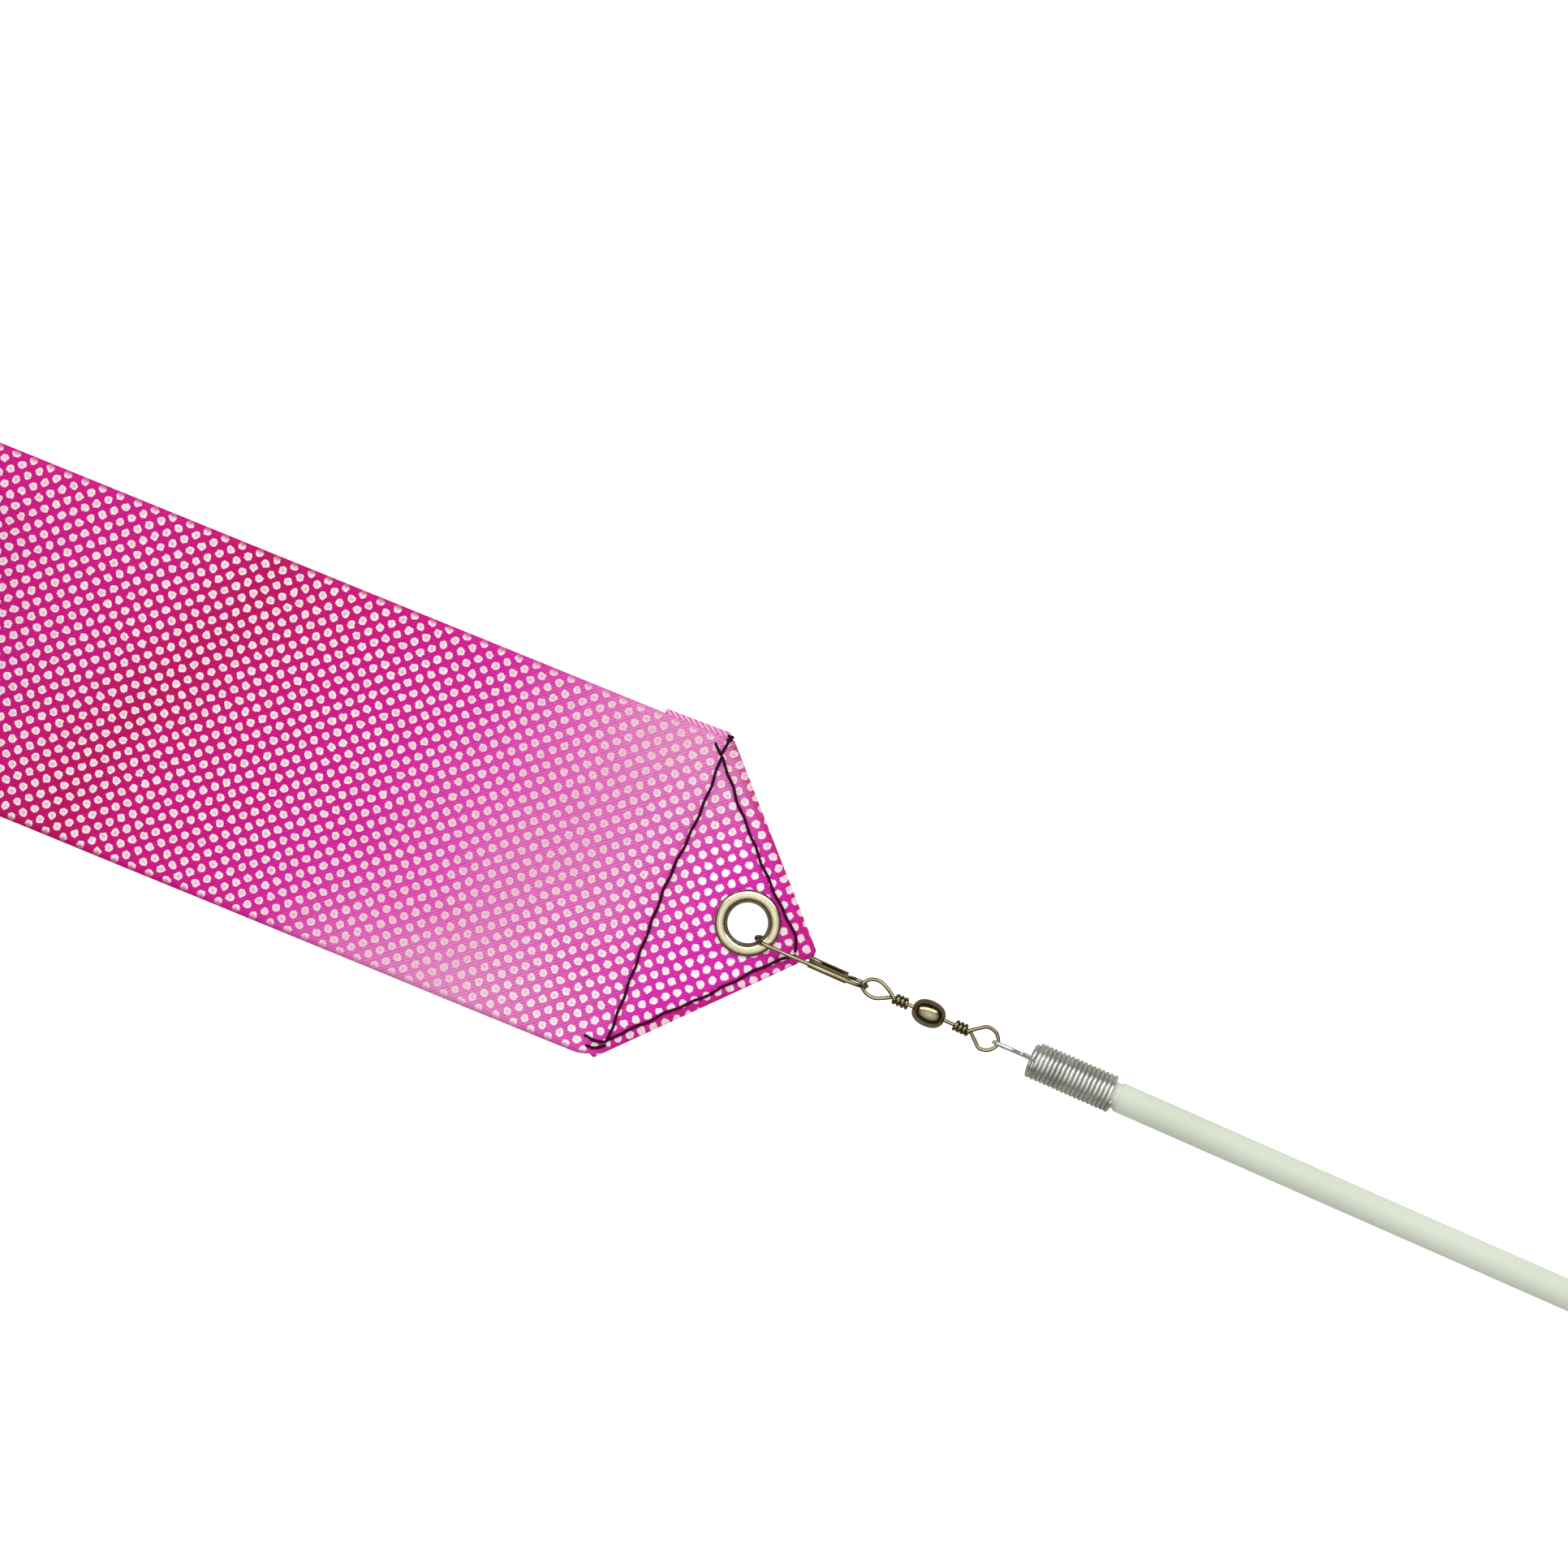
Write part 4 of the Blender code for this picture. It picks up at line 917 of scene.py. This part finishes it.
def make_swivel(hardware):
    """Barrel and both wire eyes."""
    rear_tip = (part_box("swivel_rear_eye")[1][0] - BARREL.x) / MM - hardware.swivel_wire / MM / 2
    front_tip = (SNAP_PIVOT.x - BARREL.x) / MM
    for name, node, body, tip, ring, width, side, share in (
            ("rear_wire_eye", "swivel_rear_eye", "rear_eye", rear_tip, 4.9, 3.9, 1, 1.0),
            ("front_wire_eye", "swivel_front_eye", "front_eye", front_tip, 5.2, 3.4, -1, 0.8)):
        path, widths = eye_path(hardware, tip, ring, width, side, share)
        bm = bmesh.new()
        sweep(bm, [BARREL + p * MM for p in path], hardware.swivel_wire / 2, sides=14, widths=widths)
        new_piece(bm, name, "wire", body, (node,))

    half = size_of("swivel_barrel").x / 2 / MM
    radius = size_of("swivel_barrel").y / 2 / MM
    hole = hardware.swivel_wire / MM / 2 + 0.1

    def skin(least, wall, angles):
        """The barrel's belly between its flat ends: the outside, or the inside of a wall."""
        return [(max(least, (radius - wall) * math.cos(math.radians(a)) ** 0.72),
                 (half - wall) * math.sin(math.radians(a))) for a in angles]

    outline = [(hole + 0.12, half), *skin(hole + 0.3, 0.0, range(84, -85, -6)), (hole + 0.12, -half),
               (hole, -half + 0.1), *skin(hole, 0.35, range(-84, 85, 12)), (hole, half - 0.1)]
    along = Matrix.Translation(BARREL) @ Matrix.Rotation(math.pi / 2, 4, "Y")
    turned("turned_barrel", "wire", "barrel", "swivel_barrel", outline, along, angle=50)


# ---------------------------------------------------------------- wand

# Millimetres from the coil's free end to the outside of the tip wire's eye, and to the joint in it
EYE_REACH = 5.98
EYE_PIVOT = EYE_REACH - 0.29


def wand_matrix():
    """Along the tilted wand: local Z runs from the coil's free end to the butt, in metres."""
    along = WAND_AXIS
    side = Vector((0.0, 1.0, 0.0))
    turn = Matrix((side.cross(along), side, along)).transposed().to_4x4()
    start = BUTT - along * wand_run()
    return Matrix.Translation(start) @ turn


def wand_run():
    """From the coil's free end to the butt."""
    return (BUTT - TIP_EYE).dot(WAND_AXIS) - EYE_PIVOT * MM


def make_tip_wire(hardware):
    """One steel wire: tail in the rod, hairpin eye, then the coil, whose first turns are loose."""
    wire = hardware.coil_wire / MM
    half = wire / 2
    line = hardware.coil_radius / MM - half
    pitch = hardware.coil_pitch / MM
    apart = half + 0.06
    eye = -EYE_REACH + half
    tail = [(7.0, 0.0, 0.0), (3.0, 0.0, 0.0), (0.5, 0.0, 0.0)]
    hairpin = [
        (-1.2, 0.0, -apart), (-3.0, -0.05, -1.1), (-4.4, -0.08, -1.1), (eye + 0.28, 0.0, -0.75),
        (eye, 0.0, 0.0), (eye + 0.28, 0.05, 0.75), (-4.4, 0.1, 1.1), (-3.0, 0.1, 1.1),
        (-1.5, 0.05, apart + 0.1), (-0.75, 0.15, apart + 0.5),
    ]
    turns = (hardware.coil_length / MM - wire) / pitch
    coil = []
    steps = 30
    for i in range(round(turns * steps) + 1):
        turn = i / steps
        angle = math.pi / 2 - 2 * math.pi * turn
        loose = max(0.0, 1.0 - turn / 2.6)
        radius = line * min(1.0, 0.62 + 0.38 * turn / 0.6) + 0.10 * loose * math.sin(turn * 4.1)
        x = -0.15 + half + pitch * turn + 0.16 * loose * math.sin(2 * math.pi * turn + 0.6)
        coil.append((x, radius * math.cos(angle), radius * math.sin(angle)))
    path = smooth_path(tail + hairpin + coil[:1], 8) + [Vector(p) for p in coil[1:]]
    bm = bmesh.new()
    upright = wand_matrix() @ Matrix.Rotation(-math.pi / 2, 4, "Y")
    sweep(bm, [p * MM for p in path], half * MM, sides=12)
    new_piece(bm, "coiled_tip_wire", "steel", "wand", ("tip_wire",), upright)


def make_wand(hardware, wand):
    """Rod, grip sleeve, collar and end cap."""
    run = wand_run() / MM
    rod = wand.rod_radius / MM
    seat = hardware.coil_radius / MM - hardware.coil_wire / MM - 0.2
    shoulder = hardware.coil_length / MM + 0.3
    bore = hardware.coil_wire / MM / 2 + 0.1
    place = wand_matrix()
    end = run - 3.0
    bored = 8.0
    spigot = 0.95
    outline = [(0.0, end), (rod, end), (rod, shoulder + 0.25), (rod - 0.2, shoulder), (seat, shoulder),
               (seat, spigot + 0.2), (seat - 0.2, spigot), (bore, spigot), (bore, bored), (0.0, bored)]
    turned("fibreglass_rod", "rod", "wand", "rod", outline, place, closed=False)

    flat = math.cos(math.pi / 24)
    butt_radius = 6.0
    coil_radius = hardware.coil_radius / MM
    rise = (butt_radius * flat - coil_radius) / run

    def cone(z):
        return (coil_radius + rise * z) / flat

    inner = rod + 0.1
    cap_length, collar_length, grip = 5.0, 9.0, 150.0
    start = run - grip + collar_length + 0.3
    end = run - cap_length - 0.3
    pitch = (end - start) / (wand.ribs + 0.5)
    depth = wand.rib_depth / MM
    outline = [(cone(end) - 0.25, end), (cone(end), end - 0.25)]
    for rib in range(wand.ribs):
        high = end - pitch * (rib + 0.5)
        outline += [(cone(high), high), (cone(high) - 0.12, high - 0.12), (cone(high) - depth, high - 0.5),
                    (cone(high) - depth - 0.06, high - 1.3), (cone(high) - depth, high - 2.1),
                    (cone(high) - 0.12, high - 2.48), (cone(high - 2.6), high - 2.6)]
    outline += [(cone(start), start + 0.25), (cone(start) - 0.25, start), (inner, start), (inner, end)]
    turned("ribbed_grip", "rubber", "wand", "grip_sleeve", outline, place, steps=120,
           angle=30)

    front = run - grip
    back = front + collar_length
    collar = [(cone(back) - 0.2, back), (cone(back), back - 0.2), (cone(back - 2.5), back - 2.5)]
    collar += [(rod + 1.2 + (cone(back - 2.5) - rod - 1.2) * (1 - t) ** 1.6, back - 2.5 - 5.6 * t)
               for t in (0.2, 0.4, 0.6, 0.8, 1.0)]
    collar += [(rod + 1.05, front + 0.25), (rod + 0.75, front), (inner, front), (inner, back)]
    turned("tapered_collar", "abs", "wand", "grip_collar", collar, place, angle=30)

    foot = run - cap_length
    edge = cone(run - 1.0)
    cap = [(0.0, run), (edge - 1.0, run)]
    cap += [(edge - 1.0 + math.sin(a), run - 1.0 + math.cos(a)) for a in (0.4, 0.8, 1.2, math.pi / 2)]
    cap += [(cone(foot), foot + 0.2), (cone(foot) - 0.2, foot), (inner, foot), (inner, foot + 2.3),
            (0.0, foot + 2.3)]
    turned("butt_cap", "abs", "wand", "grip_end_cap", cap, place, closed=False, angle=30)


# ---------------------------------------------------------------- stage

VIEW_WIDTH = 225.2 * MM
VIEW_CENTRE = Vector((-48.2, 21.8)) * MM
VIEW_TURN = math.radians(23.75)
LENS = 100.0
SENSOR = 36.0


def make_floor():
    """A wide white table, lit from within so that it stays pale and shadowless.

    It is dim in mirror reflections, so that the polished wires keep their dark edges against it.
    """
    bm = bmesh.new()
    bmesh.ops.create_grid(bm, x_segments=1, y_segments=1, size=3.0)
    bmesh.ops.translate(bm, vec=(0, 0, -0.00002), verts=bm.verts)
    material, add, shader = new_material("white_laminate")
    place = add("TexCoord", out="Object")
    cloud = add("TexNoise", {"Vector": place, "Scale": 9.0, "Detail": 2.0})
    shade = add("Mix", {0: cloud, 6: "#C4C4C4", 7: "#CACACA"}, data_type="RGBA", out=2)
    rays = add("LightPath", out=None)
    mirrored = add("Mix", {0: rays["Is Glossy Ray"], 6: shade, 7: "#76725F"}, data_type="RGBA", out=2)
    glow = add("MapRange", (rays["Is Camera Ray"], 0.0, 1.0, 0.30, 1.0))
    dimmed = add("MapRange", (rays["Is Glossy Ray"], 0.0, 1.0, 1.0, 0.28))
    glow = add("Math", (glow, dimmed), "MULTIPLY")
    fill(shader, {"Base Color": mirrored, "Roughness": 0.8, "Emission Color": (1.0, 1.0, 1.0, 1.0),
                  "Emission Strength": glow})
    meshed(bm, "table_top", material)


def make_light():
    """An even soft sky and a long softbox; metal mirrors a dome that darkens towards the horizon."""
    world = bpy.data.worlds.new("studio")
    bpy.context.scene.world = world
    world.use_nodes = True
    world.node_tree.nodes.clear()
    add = partial(add_node, world.node_tree)
    way = add("TexCoord", out="Generated")
    height = add("SeparateXYZ", (way,), out="Z")
    dome = add("ValToRGB", (height,), stops=[
        (0.0, (0.22, 0.20, 0.16, 1)), (0.24, (0.03, 0.022, 0.012, 1)), (0.56, (0.04, 0.03, 0.018, 1)),
        (0.80, (0.72, 0.70, 0.64, 1)), (0.94, (1.15, 1.13, 1.07, 1)), (1.0, (1.6, 1.58, 1.5, 1)),
    ])
    rays = add("LightPath", out=None)
    shade = add("Mix", {0: rays["Is Glossy Ray"], 6: (0.68, 0.68, 0.68, 1.0), 7: dome}, data_type="RGBA",
                out=2)
    seen = add("Mix", {0: rays["Is Camera Ray"], 6: shade, 7: (1.0, 1.0, 1.0, 1.0)}, data_type="RGBA",
               out=2)
    glow = add("Background", {"Color": seen, "Strength": 1.0})
    add("OutputWorld", {"Surface": glow}, out=None)

    lamp = bpy.data.lights.new("key_softbox", "AREA")
    lamp.shape = "RECTANGLE"
    lamp.size, lamp.size_y = 1.5, 0.30
    lamp.energy = 5.0
    key = linked("key_softbox", lamp)
    key.location = (-0.32, 0.50, 0.70)
    key.rotation_euler = (Vector((-0.15, 0.0, 0.0)) - key.location).to_track_quat("-Z", "Y").to_euler()


def make_camera():
    """Straight down, turned so that the wand runs down to the right."""
    data = bpy.data.cameras.new("overhead")
    data.type = "PERSP"
    data.lens = LENS
    data.sensor_width = SENSOR
    camera = linked("overhead", data)
    chain_zero = TIP_EYE.x + EYE_PIVOT * MM
    away = VIEW_WIDTH * LENS / SENSOR
    camera.location = (chain_zero + VIEW_CENTRE.x, TIP_EYE.y + VIEW_CENTRE.y, HOOK.z + away)
    camera.rotation_euler = (0.0, 0.0, VIEW_TURN)
    data.clip_start, data.clip_end = 0.01, 50.0
    bpy.context.scene.camera = camera
    bpy.context.scene.view_settings.view_transform = "Standard"


# ---------------------------------------------------------------- operators

class RIBBON_OT_cloth(bpy.types.Operator):
    """Make the satin ribbon with its folded point and its roll"""

    bl_idname = "ribbon.cloth"
    bl_label = "Satin Ribbon"

    def execute(self, context):
        sizes = context.scene.ribbon_sizes
        ribbon = make_ribbon(sizes)
        tab = make_tab(sizes)
        return {"FINISHED"}


class RIBBON_OT_stitching(bpy.types.Operator):
    """Sew the three lines of stitches on both sides of the point"""

    bl_idname = "ribbon.stitching"
    bl_label = "Stitching"

    def execute(self, context):
        make_stitching(context.scene.ribbon_sizes)
        return {"FINISHED"}


class RIBBON_OT_eyelet(bpy.types.Operator):
    """Press in the eyelet and its washer"""

    bl_idname = "ribbon.eyelet"
    bl_label = "Eyelet"

    def execute(self, context):
        make_eyelet(context.scene.ribbon_hardware, context.scene.ribbon_sizes)
        return {"FINISHED"}


class RIBBON_OT_snap(bpy.types.Operator):
    """Bend the snap's wire and latch arm"""

    bl_idname = "ribbon.snap"
    bl_label = "Wire Snap"

    def execute(self, context):
        make_snap(context.scene.ribbon_hardware)
        return {"FINISHED"}


class RIBBON_OT_swivel(bpy.types.Operator):
    """Make the barrel swivel with its two eyes"""

    bl_idname = "ribbon.swivel"
    bl_label = "Barrel Swivel"

    def execute(self, context):
        make_swivel(context.scene.ribbon_hardware)
        return {"FINISHED"}


class RIBBON_OT_tip_wire(bpy.types.Operator):
    """Wind the wand's tip wire"""

    bl_idname = "ribbon.tip_wire"
    bl_label = "Tip Wire"

    def execute(self, context):
        make_tip_wire(context.scene.ribbon_hardware)
        return {"FINISHED"}


class RIBBON_OT_wand(bpy.types.Operator):
    """Make the rod with its grip, collar and cap"""

    bl_idname = "ribbon.wand"
    bl_label = "Wand"

    def execute(self, context):
        make_wand(context.scene.ribbon_hardware, context.scene.ribbon_wand)
        return {"FINISHED"}


class RIBBON_OT_stage(bpy.types.Operator):
    """Set the table, the soft light and the camera"""

    bl_idname = "ribbon.stage"
    bl_label = "Stage"

    def execute(self, context):
        make_floor()
        make_light()
        make_camera()
        return {"FINISHED"}


OPERATORS = (RIBBON_OT_stage, RIBBON_OT_cloth, RIBBON_OT_stitching, RIBBON_OT_eyelet, RIBBON_OT_snap,
             RIBBON_OT_swivel, RIBBON_OT_tip_wire, RIBBON_OT_wand)
GROUPS = {"ribbon_sizes": RibbonSizes, "ribbon_hardware": HardwareSizes, "ribbon_wand": WandSizes,
          "ribbon_colours": Colours}


class RIBBON_PT_panel(bpy.types.Panel):
    """Lists the operators and their settings"""

    bl_label = "Gymnastics Ribbon"
    bl_idname = "RIBBON_PT_panel"
    bl_space_type = "VIEW_3D"
    bl_region_type = "UI"
    bl_category = "Ribbon"

    def draw(self, context):
        for operator in OPERATORS:
            self.layout.operator(operator.bl_idname)
        for name, group in GROUPS.items():
            box = self.layout.box()
            settings = getattr(context.scene, name)
            for key in group.__annotations__:
                box.prop(settings, key)


def register():
    for group in GROUPS.values():
        bpy.utils.register_class(group)
    for name, group in GROUPS.items():
        setattr(bpy.types.Scene, name, PointerProperty(type=group))
    for operator in OPERATORS:
        bpy.utils.register_class(operator)
    bpy.utils.register_class(RIBBON_PT_panel)


def unregister():
    bpy.utils.unregister_class(RIBBON_PT_panel)
    for operator in reversed(OPERATORS):
        bpy.utils.unregister_class(operator)
    for name, group in GROUPS.items():
        delattr(bpy.types.Scene, name)
        bpy.utils.unregister_class(group)


def main():
    register()
    for operator in OPERATORS:
        family, name = operator.bl_idname.split(".")
        getattr(getattr(bpy.ops, family), name)()
    bpy.context.view_layer.update()


if __name__ == "__main__":
    main()
